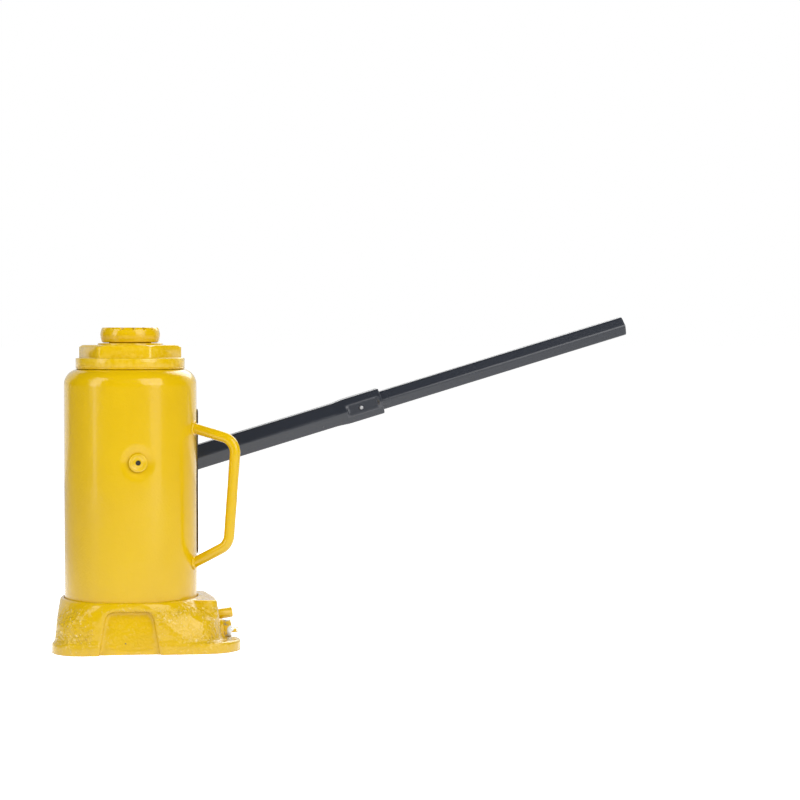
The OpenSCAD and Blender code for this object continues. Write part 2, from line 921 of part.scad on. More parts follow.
// Pin across the lever plane with a groove for a clip near each end
module grooved_pin(at_x, at_z) {
    color(steel)
        translate([0, lever_y, 0])
            difference() {
                across(at_x, at_z, pin_r, pin_half);
                for (side = [-1, 1])
                    translate([at_x, side * (plate_out + 1) + 0.5, at_z])
                        rotate([90, 0, 0])
                            ring(pin_r + cut, pin_neck_r, 0, clip_t);
            }
}

module clip_pair(at_x, at_z) {
    for (side = [-1, 1])
        translate([at_x, lever_y + side * (plate_out + 1) + 0.5, at_z])
            rotate([90, 0, 0])
                ring(pin_r + 2.4, pin_neck_r, 0, clip_t);
}

module link_base_pin() {
    grooved_pin(fulcrum_x, link_base_z);
}

module link_socket_pin() {
    grooved_pin(fulcrum_x, fulcrum_z);
}

module plunger_pin() {
    grooved_pin(fulcrum_x + lever_arm * cos(arm_rise), eye_z);
}

module link_pin_clips() {
    color(zinc) {
        clip_pair(fulcrum_x, link_base_z);
        clip_pair(fulcrum_x, fulcrum_z);
    }
}

module plunger_pin_clips() {
    color(zinc) clip_pair(fulcrum_x + lever_arm * cos(arm_rise), eye_z);
}

// Pump handle ---------------------------------------------------------------

module handle_socket() {
    lug_r = pin_r + 4;
    color(yellow)
        lever_frame()
            difference() {
                union() {
                    translate([0, 0, socket_drop])
                        rotate([0, 90, 0])
                            translate([0, 0, socket_back])
                                cylinder(h = socket_mouth - socket_back, r = socket_r);
                    across(0, 0, lug_r, lug_half);
                    translate([-lug_r, -lug_half, 0]) cube([2 * lug_r, 2 * lug_half, socket_drop]);
                    for (side = [-1, 1])
                        translate([0, side * (plate_in + plate_out) / 2, 0]) {
                            across(ear_x, ear_z, lug_r, plate_t / 2);
                            translate([ear_x - lug_r, -plate_t / 2, ear_z])
                                cube([2 * lug_r, plate_t, socket_drop - ear_z]);
                        }
                }
                translate([0, 0, socket_drop])
                    rotate([0, 90, 0])
                        translate([0, 0, socket_floor]) cylinder(h = 100, r = socket_bore_r);
                across(0, 0, pin_r + run_gap, lug_half + cut);
                across(ear_x, ear_z, pin_r, plate_out + cut);
            }
}

module handle_lower_tube() {
    notch_w = 4.2;
    notch_len = 12;
    recess_len = 26;
    color(dark_paint)
        handle_frame()
            difference() {
                union() {
                    hexagon(lower_af, lower_start, lower_end, 30);
                    hexagon(swage_af, lower_end - swage_len, lower_end, 30);
                }
                hexagon(lower_in_af, lower_start - cut, lower_end + cut, 30);
                translate([-20, -notch_w / 2, lower_start - cut]) cube([40, notch_w, notch_len + cut]);
                translate([-15, -recess_at - 10, lower_end - 3 - recess_len]) cube([30, 10, recess_len]);
            }
}

module handle_rivet() {
    rivet_r = 1.5;
    rivet_t = 0.8;
    color(zinc)
        handle_frame()
            translate([0, -recess_at - rivet_t, lower_end - 18])
                rotate([-90, 0, 0])
                    cylinder(h = rivet_t, r = rivet_r);
}

module handle_upper_tube() {
    color(dark_paint)
        handle_frame()
            difference() {
                hexagon(upper_af, upper_start, upper_start + upper_len, 30);
                hexagon(upper_af - 2 * tube_wall, upper_start - cut, upper_start + upper_len + cut, 30);
            }
}

base_casting();
pressure_cylinder();
cylinder_gasket();
reservoir_shell();
shell_base_gasket();
shell_top_gasket();
top_nut();
ram_wiper_seal();
carry_handle();
handle_welds();
label_plate();
filler_plug();
pump_cylinder();
pump_gasket();
pump_gland_nut();
plunger_wiper();
pump_plunger();
plunger_cup_seal();
release_gland_nut();
release_spindle();
release_oring();
release_ball();
suction_strainer();
inlet_check_ball();
inlet_valve_plug();
outlet_check_ball();
outlet_valve_spring();
outlet_valve_plug();
safety_valve_ball();
safety_valve_spring();
safety_valve_plug();
ram_tube();
ram_piston();
piston_cup_seal();
piston_wear_ring();
piston_retaining_nut();
screw_stop_ring();
extension_screw();
link_plate_inner();
link_plate_outer();
link_base_pin();
link_socket_pin();
plunger_pin();
link_pin_clips();
plunger_pin_clips();
handle_socket();
handle_lower_tube();
handle_upper_tube();
handle_rivet();
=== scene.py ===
import json
import math
import bmesh
import bpy
import numpy as np
from mathutils import Matrix, Vector, noise


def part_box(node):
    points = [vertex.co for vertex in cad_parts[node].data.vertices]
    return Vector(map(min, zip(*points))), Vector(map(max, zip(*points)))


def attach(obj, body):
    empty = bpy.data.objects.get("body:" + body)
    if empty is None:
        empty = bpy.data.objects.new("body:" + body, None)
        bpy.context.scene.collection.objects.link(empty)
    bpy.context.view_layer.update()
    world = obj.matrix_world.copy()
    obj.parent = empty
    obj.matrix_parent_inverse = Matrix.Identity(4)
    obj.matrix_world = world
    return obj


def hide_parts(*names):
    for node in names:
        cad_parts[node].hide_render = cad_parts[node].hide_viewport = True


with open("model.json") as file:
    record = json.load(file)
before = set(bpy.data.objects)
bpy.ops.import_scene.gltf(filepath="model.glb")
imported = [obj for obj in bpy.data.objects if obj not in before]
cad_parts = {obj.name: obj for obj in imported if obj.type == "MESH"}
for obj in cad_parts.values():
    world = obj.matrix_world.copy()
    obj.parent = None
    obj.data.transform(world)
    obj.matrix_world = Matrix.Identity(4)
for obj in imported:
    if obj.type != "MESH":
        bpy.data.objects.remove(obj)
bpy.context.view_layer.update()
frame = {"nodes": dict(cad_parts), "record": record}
mm = 0.001
slotOf = {row["node"]: row["material_slot"] for row in frame["record"]["subparts"]}
bodyOf = {node: body for body, nodes in frame["record"]["behaviour"]["bodies"].items() for node in nodes}

# Camera, light and floor

cameraView = {
    "lens": 103.5,
    "distance": 1.743,
    "height": 0.240,
    "aside": 0.2044,
    "turn": 13.0,
    "tilt": 1.74,
}


def makeCamera(view):
    turn, tilt = math.radians(view["turn"]), math.radians(view["tilt"])
    right = Vector((math.cos(turn), -math.sin(turn), 0))
    ahead = Vector((math.sin(turn), math.cos(turn), 0))
    camera = bpy.data.objects.new("camera", bpy.data.cameras.new("camera"))
    camera.data.lens = view["lens"]
    camera.data.sensor_width = 36
    camera.location = right * view["aside"] - ahead * view["distance"] + Vector((0, 0, view["height"]))
    look = ahead * math.cos(tilt) - Vector((0, 0, math.sin(tilt)))
    camera.rotation_euler = look.to_track_quat("-Z", "Y").to_euler()
    bpy.context.scene.collection.objects.link(camera)
    bpy.context.scene.camera = camera


studio = {
    "world": 0.26,
    "worldGloss": 0.02,
    "backdrop": 1.0,
    # glow of the paper: even for the camera, and near the object a painted reflection in glossy rays
    "floorGlow": 0.82,
    "glowReach": (0.22, 0.8),
    "left": {"turn": -57, "rise": 26, "size": (0.62, 1.5), "power": 8.6},
    "leftLow": {"turn": -57, "rise": 5, "size": (0.20, 0.8), "power": 0.7},
    "right": {"turn": 46, "rise": 28, "size": (1.1, 1.35), "power": 14.0},
    "rightLow": {"turn": 50, "rise": 6, "size": (0.60, 0.8), "power": 1.6},
    "front": {"turn": 6, "rise": 34, "size": (1.2, 1.2), "power": 7.2, "unseen": True},
    "back": {"turn": 165, "rise": 35, "size": (1.4, 1.1), "power": 13},
    "mirrored": {"turn": 180, "rise": 16, "size": (5.0, 1.9), "power": 22, "glossOnly": True},
}


def makeLight(name, values, view, distance=1.7, target=Vector((0.02, 0, 0.13))):
    # turn is measured from the camera, to its right; rise is above the level
    turn, rise = math.radians(values["turn"] - view["turn"]), math.radians(values["rise"])
    toward = Vector((math.sin(turn) * math.cos(rise), -math.cos(turn) * math.cos(rise), math.sin(rise)))
    lamp = bpy.data.lights.new(name, "AREA")
    lamp.shape = "RECTANGLE"
    lamp.size, lamp.size_y = values["size"]
    lamp.energy = values["power"]
    light = bpy.data.objects.new(name, lamp)
    light.location = target + toward * distance
    light.rotation_euler = (-toward).to_track_quat("-Z", "Y").to_euler()
    light.visible_glossy = not values.get("unseen", False)
    if values.get("glossOnly"):
        light.visible_camera = light.visible_diffuse = False
    bpy.context.scene.collection.objects.link(light)


def makeWorld(values):
    # The camera sees a white backdrop, while the pieces are lit more softly and reflect a dark room
    world = bpy.data.worlds.new("studioWorld")
    world.use_nodes = True
    nodes, links = world.node_tree.nodes, world.node_tree.links
    soft = nodes["Background"]
    soft.inputs["Color"].default_value = (1, 1, 1, 1)
    seen = nodes.new("ShaderNodeBackground")
    seen.inputs["Color"].default_value = (1, 1, 1, 1)
    seen.inputs["Strength"].default_value = values["backdrop"]
    path, mix = nodes.new("ShaderNodeLightPath"), nodes.new("ShaderNodeMixShader")
    level = addMath(
        world.node_tree, "MULTIPLY", path.outputs["Is Glossy Ray"], values["worldGloss"] - values["world"]
    )
    links.new(addMath(world.node_tree, "ADD", level, values["world"]), soft.inputs["Strength"])
    links.new(path.outputs["Is Camera Ray"], mix.inputs[0])
    links.new(soft.outputs[0], mix.inputs[1])
    links.new(seen.outputs[0], mix.inputs[2])
    links.new(mix.outputs[0], nodes["World Output"].inputs["Surface"])
    bpy.context.scene.world = world


def makeStudio(values, view):
    for name in ("left", "leftLow", "right", "rightLow", "front", "back", "mirrored"):
        makeLight(name + "Light", values[name], view)
    makeWorld(values)
    bpy.context.scene.view_settings.view_transform = "Standard"
    mesh = bpy.data.meshes.new("floor")
    half = 30
    mesh.from_pydata(
        [(-half, -half, 0), (half, -half, 0), (half, half, 0), (-half, half, 0)], [], [(0, 1, 2, 3)]
    )
    floor = bpy.data.objects.new("floor", mesh)
    material = bpy.data.materials.new("floorPaper")
    material.use_nodes = True
    shader = material.node_tree.nodes["Principled BSDF"]
    shader.inputs["Base Color"].default_value = (0.9, 0.9, 0.9, 1)
    shader.inputs["Roughness"].default_value = 0.9
    shader.inputs["Specular IOR Level"].default_value = 0.1
    shader.inputs["Emission Color"].default_value = (1, 1, 1, 1)
    tree = material.node_tree
    # The paper glows evenly for the camera; for reflections it also glows near the object, a painted
    # reflection of bright paper that fades out further away
    path = addNode(tree, "ShaderNodeLightPath")
    away = addNode(
        tree, "ShaderNodeVectorMath", {0: objectPoint(tree)}, operation="LENGTH"
    ).outputs["Value"]
    near = addMath(tree, "SUBTRACT", 1.0, addRamp(tree, away, *values["glowReach"]))
    mirrored = addMath(tree, "MULTIPLY", path.outputs["Is Glossy Ray"], near)
    shown = addMath(tree, "ADD", path.outputs["Is Camera Ray"], mirrored)
    tree.links.new(
        addMath(tree, "MULTIPLY", shown, values["floorGlow"]), shader.inputs["Emission Strength"]
    )
    mesh.materials.append(material)
    bpy.context.scene.collection.objects.link(floor)


# Shader groups


def newGroup(name, inputs, outputs, kind="ShaderNodeTree"):
    tree = bpy.data.node_groups.new(name, kind)
    for label, socket, value in inputs:
        made = tree.interface.new_socket(name=label, in_out="INPUT", socket_type=socket)
        if value is not None:
            made.default_value = value
    for label, socket in outputs:
        tree.interface.new_socket(name=label, in_out="OUTPUT", socket_type=socket)
    return tree, tree.nodes.new("NodeGroupInput"), tree.nodes.new("NodeGroupOutput")


def addNode(tree, kind, links=None, **settings):
    node = tree.nodes.new(kind)
    for key, value in settings.items():
        setattr(node, key, value)
    for label, source in (links or {}).items():
        if hasattr(source, "is_output") or isinstance(source, bpy.types.NodeSocket):
            tree.links.new(source, node.inputs[label])
        else:
            node.inputs[label].default_value = source
    return node


def addMath(tree, operation, first, second=0.5, clamp=False):
    return addNode(
        tree, "ShaderNodeMath", {0: first, 1: second}, operation=operation, use_clamp=clamp
    ).outputs[0]


def objectPoint(tree):
    return addNode(tree, "ShaderNodeTexCoord").outputs["Object"]


def addNoise(tree, point, scale, detail):
    return addNode(
        tree, "ShaderNodeTexNoise", {"Vector": point, "Scale": scale, "Detail": detail}
    ).outputs["Fac"]


def readMask(tree, name):
    return addNode(tree, "ShaderNodeAttribute", attribute_name=name).outputs["Fac"]


def addRamp(tree, value, low, high):
    ramp = addNode(tree, "ShaderNodeMapRange", {"Value": value, "From Min": low, "From Max": high})
    ramp.clamp = True
    return ramp.outputs["Result"]


def makeEnamelSkin():
    # Fine orange peel with a slow wave under it
    tree, start, end = newGroup(
        "enamelSkin",
        [
            ("Peel Scale", "NodeSocketFloat", 560.0),
            ("Wave Scale", "NodeSocketFloat", 45.0),
            ("Wave", "NodeSocketFloat", 0.5),
        ],
        [("Height", "NodeSocketFloat")],
    )
    point = objectPoint(tree)
    peel = addNoise(tree, point, start.outputs["Peel Scale"], 2.0)
    wave = addNoise(tree, point, start.outputs["Wave Scale"], 1.0)
    lifted = addMath(tree, "MULTIPLY", wave, start.outputs["Wave"])
    total = addMath(tree, "ADD", peel, lifted)
    tree.links.new(total, end.inputs["Height"])
    return tree


def makeCastSkin():
    # Pebbles and pits that sand leaves on a casting, softened by thick paint
    tree, start, end = newGroup(
        "castSkin",
        [
            ("Pebble Scale", "NodeSocketFloat", 480.0),
            ("Pit Scale", "NodeSocketFloat", 210.0),
            ("Pits", "NodeSocketFloat", 0.3),
        ],
        [("Height", "NodeSocketFloat")],
    )
    point = objectPoint(tree)
    warp = addNoise(tree, point, start.outputs["Pebble Scale"], 3.0)
    pebble = addNode(
        tree, "ShaderNodeTexVoronoi", {
            "Vector": point,
            "Scale": start.outputs["Pebble Scale"],
        }, feature="SMOOTH_F1"
    )
    pit = addNoise(tree, point, start.outputs["Pit Scale"], 4.0)
    sunk = addMath(tree, "MULTIPLY", addRamp(tree, pit, 0.42, 0.6), start.outputs["Pits"])
    body = addMath(tree, "SUBTRACT", warp, pebble.outputs["Distance"])
    total = addMath(tree, "ADD", body, sunk)
    tree.links.new(total, end.inputs["Height"])
    return tree


def makePaintTone():
    # Slow drift between two coats of one colour, a little thinner on edges
    tree, start, end = newGroup(
        "paintTone",
        [
            ("Color", "NodeSocketColor", (0.8, 0.5, 0.01, 1)),
            ("Thick Color", "NodeSocketColor", (0.74, 0.43, 0.01, 1)),
            ("Edge Color", "NodeSocketColor", (0.85, 0.62, 0.1, 1)),
            ("Drift Scale", "NodeSocketFloat", 18.0),
            ("Edge Share", "NodeSocketFloat", 0.5),
        ],
        [("Color", "NodeSocketColor"), ("Edge", "NodeSocketFloat")],
    )
    point = objectPoint(tree)
    drift = addNoise(tree, point, start.outputs["Drift Scale"], 3.0)
    share = addRamp(tree, drift, 0.35, 0.68)
    base = addNode(tree, "ShaderNodeMix", data_type="RGBA")
    tree.links.new(share, base.inputs["Factor"])
    tree.links.new(start.outputs["Color"], base.inputs["A"])
    tree.links.new(start.outputs["Thick Color"], base.inputs["B"])
    edge = readMask(tree, "edgeMask")
    spots = addNoise(tree, point, 260.0, 4.0)
    broken = addMath(tree, "MULTIPLY", edge, addRamp(tree, spots, 0.4, 0.62))
    onEdge = addMath(tree, "MULTIPLY", broken, start.outputs["Edge Share"], True)
    final = addNode(tree, "ShaderNodeMix", data_type="RGBA")
    tree.links.new(onEdge, final.inputs["Factor"])
    tree.links.new(base.outputs["Result"], final.inputs["A"])
    tree.links.new(start.outputs["Edge Color"], final.inputs["B"])
    tree.links.new(final.outputs["Result"], end.inputs["Color"])
    tree.links.new(broken, end.inputs["Edge"])
    return tree


def makeChipMask():
    # Sparse small chips, more of them where an edge catches knocks
    tree, start, end = newGroup(
        "chipMask",
        [
            ("Scale", "NodeSocketFloat", 170.0),
            ("Cover", "NodeSocketFloat", 0.02),
            ("Edge Cover", "NodeSocketFloat", 0.05),
        ],
        [("Chip", "NodeSocketFloat")],
    )
    point = objectPoint(tree)
    grain = addNoise(tree, point, start.outputs["Scale"], 5.0)
    edge = readMask(tree, "edgeMask")
    extra = addMath(tree, "MULTIPLY", edge, start.outputs["Edge Cover"])
    cover = addMath(tree, "ADD", start.outputs["Cover"], extra)
    level = addMath(tree, "SUBTRACT", 0.79, cover)
    chip = addMath(tree, "GREATER_THAN", grain, level)
    tree.links.new(chip, end.inputs["Chip"])
    return tree


def makeFloorDust():
    # Dust that settles low down
    tree, start, end = newGroup(
        "floorDust",
        [("Height", "NodeSocketFloat", 0.02), ("Amount", "NodeSocketFloat", 0.2)],
        [("Dust", "NodeSocketFloat")],
    )
    point = objectPoint(tree)
    up = addNode(tree, "ShaderNodeSeparateXYZ", {"Vector": point}).outputs["Z"]
    near = addMath(tree, "SUBTRACT", 1.0, addMath(tree, "DIVIDE", up, start.outputs["Height"]), True)
    patch = addNoise(tree, point, 60.0, 4.0)
    dust = addMath(tree, "MULTIPLY", addMath(tree, "MULTIPLY", near, patch), start.outputs["Amount"])
    tree.links.new(dust, end.inputs["Dust"])
    return tree


def makeTurnedLines():
    # Fine marks of turning or drawing, stretched along one axis by the scale
    tree, start, end = newGroup(
        "turnedLines",
        [("Stretch", "NodeSocketVector", (40.0, 40.0, 2600.0))],
        [("Height", "NodeSocketFloat"), ("Tone", "NodeSocketFloat")],
    )
    point = objectPoint(tree)
    stretched = addNode(
        tree, "ShaderNodeVectorMath", {0: point, 1: start.outputs["Stretch"]}, operation="MULTIPLY"
    )
    lines = addNoise(tree, stretched.outputs[0], 1.0, 3.0)
    patch = addNoise(tree, point, 90.0, 4.0)
    tree.links.new(lines, end.inputs["Height"])
    tree.links.new(patch, end.inputs["Tone"])
    return tree


groups = {
    "enamelSkin": makeEnamelSkin(),
    "castSkin": makeCastSkin(),
    "paintTone": makePaintTone(),
    "chipMask": makeChipMask(),
    "floorDust": makeFloorDust(),
    "turnedLines": makeTurnedLines(),
}

# Materials


def placeGroup(tree, name, values=None):
    node = addNode(tree, "ShaderNodeGroup", node_tree=groups[name])
    for label, value in (values or {}).items():
        if isinstance(value, bpy.types.NodeSocket):
            tree.links.new(value, node.inputs[label])
        else:
            node.inputs[label].default_value = value
    return node


def newMaterial(name):
    material = bpy.data.materials.new(name)
    material.use_nodes = True
    tree = material.node_tree
    return material, tree, tree.nodes["Principled BSDF"]


def addBump(tree, shader, height, strength, distance):
    bump = addNode(tree, "ShaderNodeBump", {"Height": height, "Strength": strength, "Distance": distance})
    tree.links.new(bump.outputs["Normal"], shader.inputs["Normal"])


def mixColor(tree, factor, first, second):
    mix = addNode(tree, "ShaderNodeMix", data_type="RGBA")
    for socket, value in (("Factor", factor), ("A", first), ("B", second)):
        if isinstance(value, bpy.types.NodeSocket):
            tree.links.new(value, mix.inputs[socket])
        else:
            mix.inputs[socket].default_value = value
    return mix.outputs["Result"]


yellowPaint = {
    "color": (0.78, 0.50, 0.001, 1),
    "thick": (0.74, 0.465, 0.001, 1),
    "edge": (0.86, 0.60, 0.06, 1),
    "primer": (0.16, 0.13, 0.10, 1),
    "dust": (0.62, 0.55, 0.42, 1),
    "roughness": (0.12, 0.20),
    "coat": 0.5,
    # paler colour painted on the casting's pebble tops, a painted highlight
    "paintedGlint": (0.95, 0.74, 0.27, 1),
    "paintedGlintRange": (0.42, 0.70),
}


def paintedYellow(name, cast, peel=0.36):
    material, tree, shader = newMaterial(name)
    tones = {
        "Color": yellowPaint["color"],
        "Thick Color": yellowPaint["thick"],
        "Edge Color": yellowPaint["edge"],
    }
    paint = placeGroup(tree, "paintTone", tones)
    chip = placeGroup(tree, "chipMask", {"Cover": 0.0, "Edge Cover": 0.012}).outputs["Chip"]
    dust = placeGroup(tree, "floorDust", {"Amount": 0.1}).outputs["Dust"]
    dustAndCastGlint = mixColor(tree, dust, paint.outputs["Color"], yellowPaint["dust"])
    if cast:
        # Painted highlight: the tops of the casting's pebbles get a paler colour than the hollows, standing
        # in for glints of light on them
        roughness = readMask(tree, "roughMask")
        pebbles = placeGroup(tree, "castSkin").outputs["Height"]
        paintedGlint = addMath(tree, "MULTIPLY", addRamp(tree, pebbles, *yellowPaint["paintedGlintRange"]), roughness)
        dustAndCastGlint = mixColor(tree, paintedGlint, dustAndCastGlint, yellowPaint["paintedGlint"])
    tree.links.new(mixColor(tree, chip, dustAndCastGlint, yellowPaint["primer"]), shader.inputs["Base Color"])
    patch = addNoise(tree, objectPoint(tree), 35.0, 3.0)
    low, high = yellowPaint["roughness"]
    rough = addNode(tree, "ShaderNodeMapRange", {"Value": patch, "To Min": low, "To Max": high})
    tree.links.new(rough.outputs["Result"], shader.inputs["Roughness"])
    shader.inputs["Specular IOR Level"].default_value = 0.3
    shader.inputs["Coat Weight"].default_value = yellowPaint["coat"]
    shader.inputs["Coat Roughness"].default_value = 0.04
    if cast:
        high = addMath(tree, "MULTIPLY", pebbles, roughness)
        fine = addMath(tree, "MULTIPLY", placeGroup(tree, "enamelSkin").outputs["Height"], 0.12)
        addBump(tree, shader, addMath(tree, "ADD", high, fine), 1.0, 0.0013)
    else:
        addBump(tree, shader, placeGroup(tree, "enamelSkin").outputs["Height"], peel, 0.0006)
    return material


handlePaint = {"color": (0.024, 0.028, 0.038, 1), "worn": (0.09, 0.095, 0.11, 1), "roughness": (0.20, 0.32)}


def paintedHandle():
    material, tree, shader = newMaterial("handleEnamel")
    point = objectPoint(tree)
    drift = addNoise(tree, point, 30.0, 4.0)
    edge = readMask(tree, "edgeMask")
    worn = addMath(tree, "MULTIPLY", addMath(tree, "MULTIPLY", edge, drift), 0.8, True)
    tree.links.new(
        mixColor(tree, worn, handlePaint["color"], handlePaint["worn"]), shader.inputs["Base Color"]
    )
    low, high = handlePaint["roughness"]
    rough = addNode(tree, "ShaderNodeMapRange", {"Value": drift, "To Min": low, "To Max": high})
    tree.links.new(rough.outputs["Result"], shader.inputs["Roughness"])
    shader.inputs["Coat Weight"].default_value = 0.2
    shader.inputs["Coat Roughness"].default_value = 0.12
    addBump(
        tree, shader, placeGroup(tree, "enamelSkin", {"Peel Scale": 700.0}).outputs["Height"], 0.10, 0.0004
    )
    return material


def bareMetal(name, color, dark, roughness, stretch, metallic=1.0, bump=0.12):
    material, tree, shader = newMaterial(name)
    marks = placeGroup(tree, "turnedLines", {"Stretch": stretch})
    toned = mixColor(tree, addRamp(tree, marks.outputs["Tone"], 0.35, 0.75), color, dark)
    tree.links.new(toned, shader.inputs["Base Color"])
    shader.inputs["Metallic"].default_value = metallic
    rough = addNode(
        tree,
        "ShaderNodeMapRange",
        {"Value": marks.outputs["Height"], "To Min": roughness[0], "To Max": roughness[1]},
    )
    tree.links.new(rough.outputs["Result"], shader.inputs["Roughness"])
    addBump(tree, shader, marks.outputs["Height"], bump, 0.0003)
    return material


def zincPlate():
    # Zinc with yellow overspray where the casting was painted round it
    material, tree, shader = newMaterial("zincPlate")
    marks = placeGroup(tree, "turnedLines", {"Stretch": (900.0, 900.0, 900.0)})
    point = objectPoint(tree)
    spray = addNoise(tree, point, 120.0, 5.0)
    paint = addRamp(tree, spray, 0.46, 0.50)
    bare = mixColor(tree, marks.outputs["Tone"], (0.80, 0.80, 0.78, 1), (0.52, 0.53, 0.52, 1))
    tree.links.new(mixColor(tree, paint, bare, yellowPaint["thick"]), shader.inputs["Base Color"])
    tree.links.new(addMath(tree, "SUBTRACT", 1.0, paint), shader.inputs["Metallic"])
    shader.inputs["Roughness"].default_value = 0.3
    addBump(tree, shader, spray, 0.15, 0.0004)
    return material


def softBlack(name, color, roughness, scale):
    material, tree, shader = newMaterial(name)
    grain = addNoise(tree, objectPoint(tree), scale, 4.0)
    lighter = tuple(min(1, c * 1.8) for c in color[:3]) + (1,)
    tree.links.new(mixColor(tree, grain, color, lighter), shader.inputs["Base Color"])
    shader.inputs["Roughness"].default_value = roughness
    addBump(tree, shader, grain, 0.15, 0.0003)
    return material


def labelFilm():
    # Dark front, pale gummed back
    material, tree, shader = newMaterial("labelFilm")
    grain = addNoise(tree, objectPoint(tree), 220.0, 4.0)
    front = mixColor(tree, grain, (0.016, 0.016, 0.019, 1), (0.03, 0.03, 0.034, 1))
    back = readMask(tree, "backSide")
    tree.links.new(
        mixColor(tree, addRamp(tree, back, 0.8, 1.0), front, (0.7, 0.66, 0.5, 1)),
        shader.inputs["Base Color"],
    )
    shader.inputs["Roughness"].default_value = 0.4
    addBump(tree, shader, grain, 0.1, 0.0002)
    return material


materials = {
    "yellow_enamel": paintedYellow("yellowEnamel", False),
    "yellow_cast": paintedYellow("yellowCast", True),
    "handle_enamel": paintedHandle(),
    "label_film": labelFilm(),
    "bare_steel": bareMetal(
        "bareSteel", (0.50, 0.50, 0.51, 1), (0.36, 0.36, 0.37, 1), (0.28, 0.45), (40, 40, 2600)
    ),
    "ground_steel": bareMetal(
        "groundSteel", (0.68, 0.68, 0.70, 1), (0.55, 0.55, 0.57, 1), (0.10, 0.22), (30, 30, 3200)
    ),
    "bearing_steel": bareMetal(
        "bearingSteel", (0.74, 0.74, 0.76, 1), (0.66, 0.66, 0.68, 1), (0.05, 0.1), (200, 200, 200)
    ),
    "spring_steel": bareMetal(
        "springSteel", (0.40, 0.40, 0.42, 1), (0.30, 0.30, 0.31, 1), (0.30, 0.42), (300, 300, 300)
    ),
    "zinc_plate": zincPlate(),
    "copper_ring": bareMetal(
        "copperRing", (0.72, 0.36, 0.20, 1), (0.45, 0.22, 0.14, 1), (0.28, 0.45), (90, 90, 1500)
    ),
    "bronze_ring": bareMetal(
        "bronzeRing", (0.58, 0.40, 0.18, 1), (0.42, 0.28, 0.12, 1), (0.28, 0.45), (90, 90, 1500)
    ),
    "seal_rubber": softBlack("sealRubber", (0.012, 0.012, 0.012, 1), 0.6, 500.0),
}
for node, piece in frame["nodes"].items():
    piece.data.materials.clear()
    piece.data.materials.append(materials[slotOf[node]])
print("materials made")

# Mesh helpers


def addPiece(name, mesh, slot, body, replaced, sharp=35):
    mesh.materials.clear()
    mesh.materials.append(materials[slot])
    mesh.shade_smooth()
    mesh.set_sharp_from_angle(angle=math.radians(sharp))
    piece = bpy.data.objects.new(name, mesh)
    bpy.context.scene.collection.objects.link(piece)
    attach(piece, body)
    if replaced:
        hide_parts(*replaced)
    return piece


def meshFrom(name, points, faces):
    mesh = bpy.data.meshes.new(name)
    mesh.from_pydata([tuple(p) for p in points], [], faces)
    mesh.validate()
    return mesh


def cleaned(mesh, merge=1e-6):
    work = bmesh.new()
    work.from_mesh(mesh)
    bmesh.ops.remove_doubles(work, verts=work.verts, dist=merge)
    bmesh.ops.recalc_face_normals(work, faces=work.faces)
    work.to_mesh(mesh)
    work.free()
    return mesh


def gridFaces(rows, columns, closedRows=False, offset=0):
    # Quads between rows of a ring-shaped grid; every row is a closed ring
    faces = []
    for i in range(rows if closedRows else rows - 1):
        for j in range(columns):
            a, b = i * columns + j, i * columns + (j + 1) % columns
            c, d = ((i + 1) % rows) * columns + (j + 1) % columns, ((i + 1) % rows) * columns + j
            faces.append((a + offset, b + offset, c + offset, d + offset))
    return faces


def withModifier(mesh, kind, **settings):
    holder = bpy.data.objects.new("holder", mesh)
    bpy.context.scene.collection.objects.link(holder)
    modifier = holder.modifiers.new("work", kind)
    for key, value in settings.items():
        setattr(modifier, key, value)
    bpy.context.view_layer.update()
    made = bpy.data.meshes.new_from_object(holder.evaluated_get(bpy.context.evaluated_depsgraph_get()))
    bpy.data.objects.remove(holder)
    return made


def markEdges(mesh, least=14):
    # edgeMask is 1 along rounded edges, for the wear in the paint
    work = bmesh.new()
    work.from_mesh(mesh)
    mask = np.zeros(len(work.verts), np.float32)
    for edge in work.edges:
        if len(edge.link_faces) == 2 and edge.calc_face_angle(0) > math.radians(least):
            for vert in edge.verts:
                mask[vert.index] = 1
    work.free()
    attribute = mesh.attributes.new("edgeMask", "FLOAT", "POINT")
    attribute.data.foreach_set("value", mask)


def finishedCopy(node, name, bevel, segments=2, body=None, slot=None):
    work = bmesh.new()
    work.from_mesh(frame["nodes"][node].data)
    bmesh.ops.remove_doubles(work, verts=work.verts, dist=4e-6)
    bmesh.ops.dissolve_limit(
        work, angle_limit=math.radians(
            0.6
        ), verts=work.verts, edges=work.edges, use_dissolve_boundaries=False
    )
    mesh = bpy.data.meshes.new(name)
    work.to_mesh(mesh)
    work.free()
    mesh = withModifier(
        mesh, "BEVEL", width=bevel * mm, segments=segments, limit_method="ANGLE", angle_limit=math.radians(
            32
        )
    )
    markEdges(mesh)
    return addPiece(name, mesh, slot or slotOf[node], body or bodyOf[node], [node])


# Geometry node helpers


def geometryTree(name, inputs):
    tree, start, end = newGroup(
        name, [
            ("Geometry", "NodeSocketGeometry", None),
            *inputs,
        ], [("Geometry", "NodeSocketGeometry")], "GeometryNodeTree"
    )
    return tree, start, end


def runTree(source, tree, values):
    modifier = source.modifiers.new("nodes", "NODES")
    modifier.node_group = tree
    for item in tree.interface.items_tree:
        if item.item_type == "SOCKET" and item.in_out == "INPUT" and item.name in values:
            modifier[item.identifier] = values[item.name]
    bpy.context.view_layer.update()
    made = bpy.data.meshes.new_from_object(source.evaluated_get(bpy.context.evaluated_depsgraph_get()))
    source.modifiers.remove(modifier)
    bpy.data.objects.remove(source)
    return made


def endTree(tree, end, geometry, material):
    realized = addNode(tree, "GeometryNodeRealizeInstances", {"Geometry": geometry})
    painted = addNode(tree, "GeometryNodeSetMaterial", {"Geometry": realized.outputs[0]})
    painted.inputs["Material"].default_value = material
    tree.links.new(painted.outputs[0], end.inputs["Geometry"])


def pointCloud(name, points):
    holder = bpy.data.objects.new(name, meshFrom(name, points, []))
    bpy.context.scene.collection.objects.link(holder)
    return holder


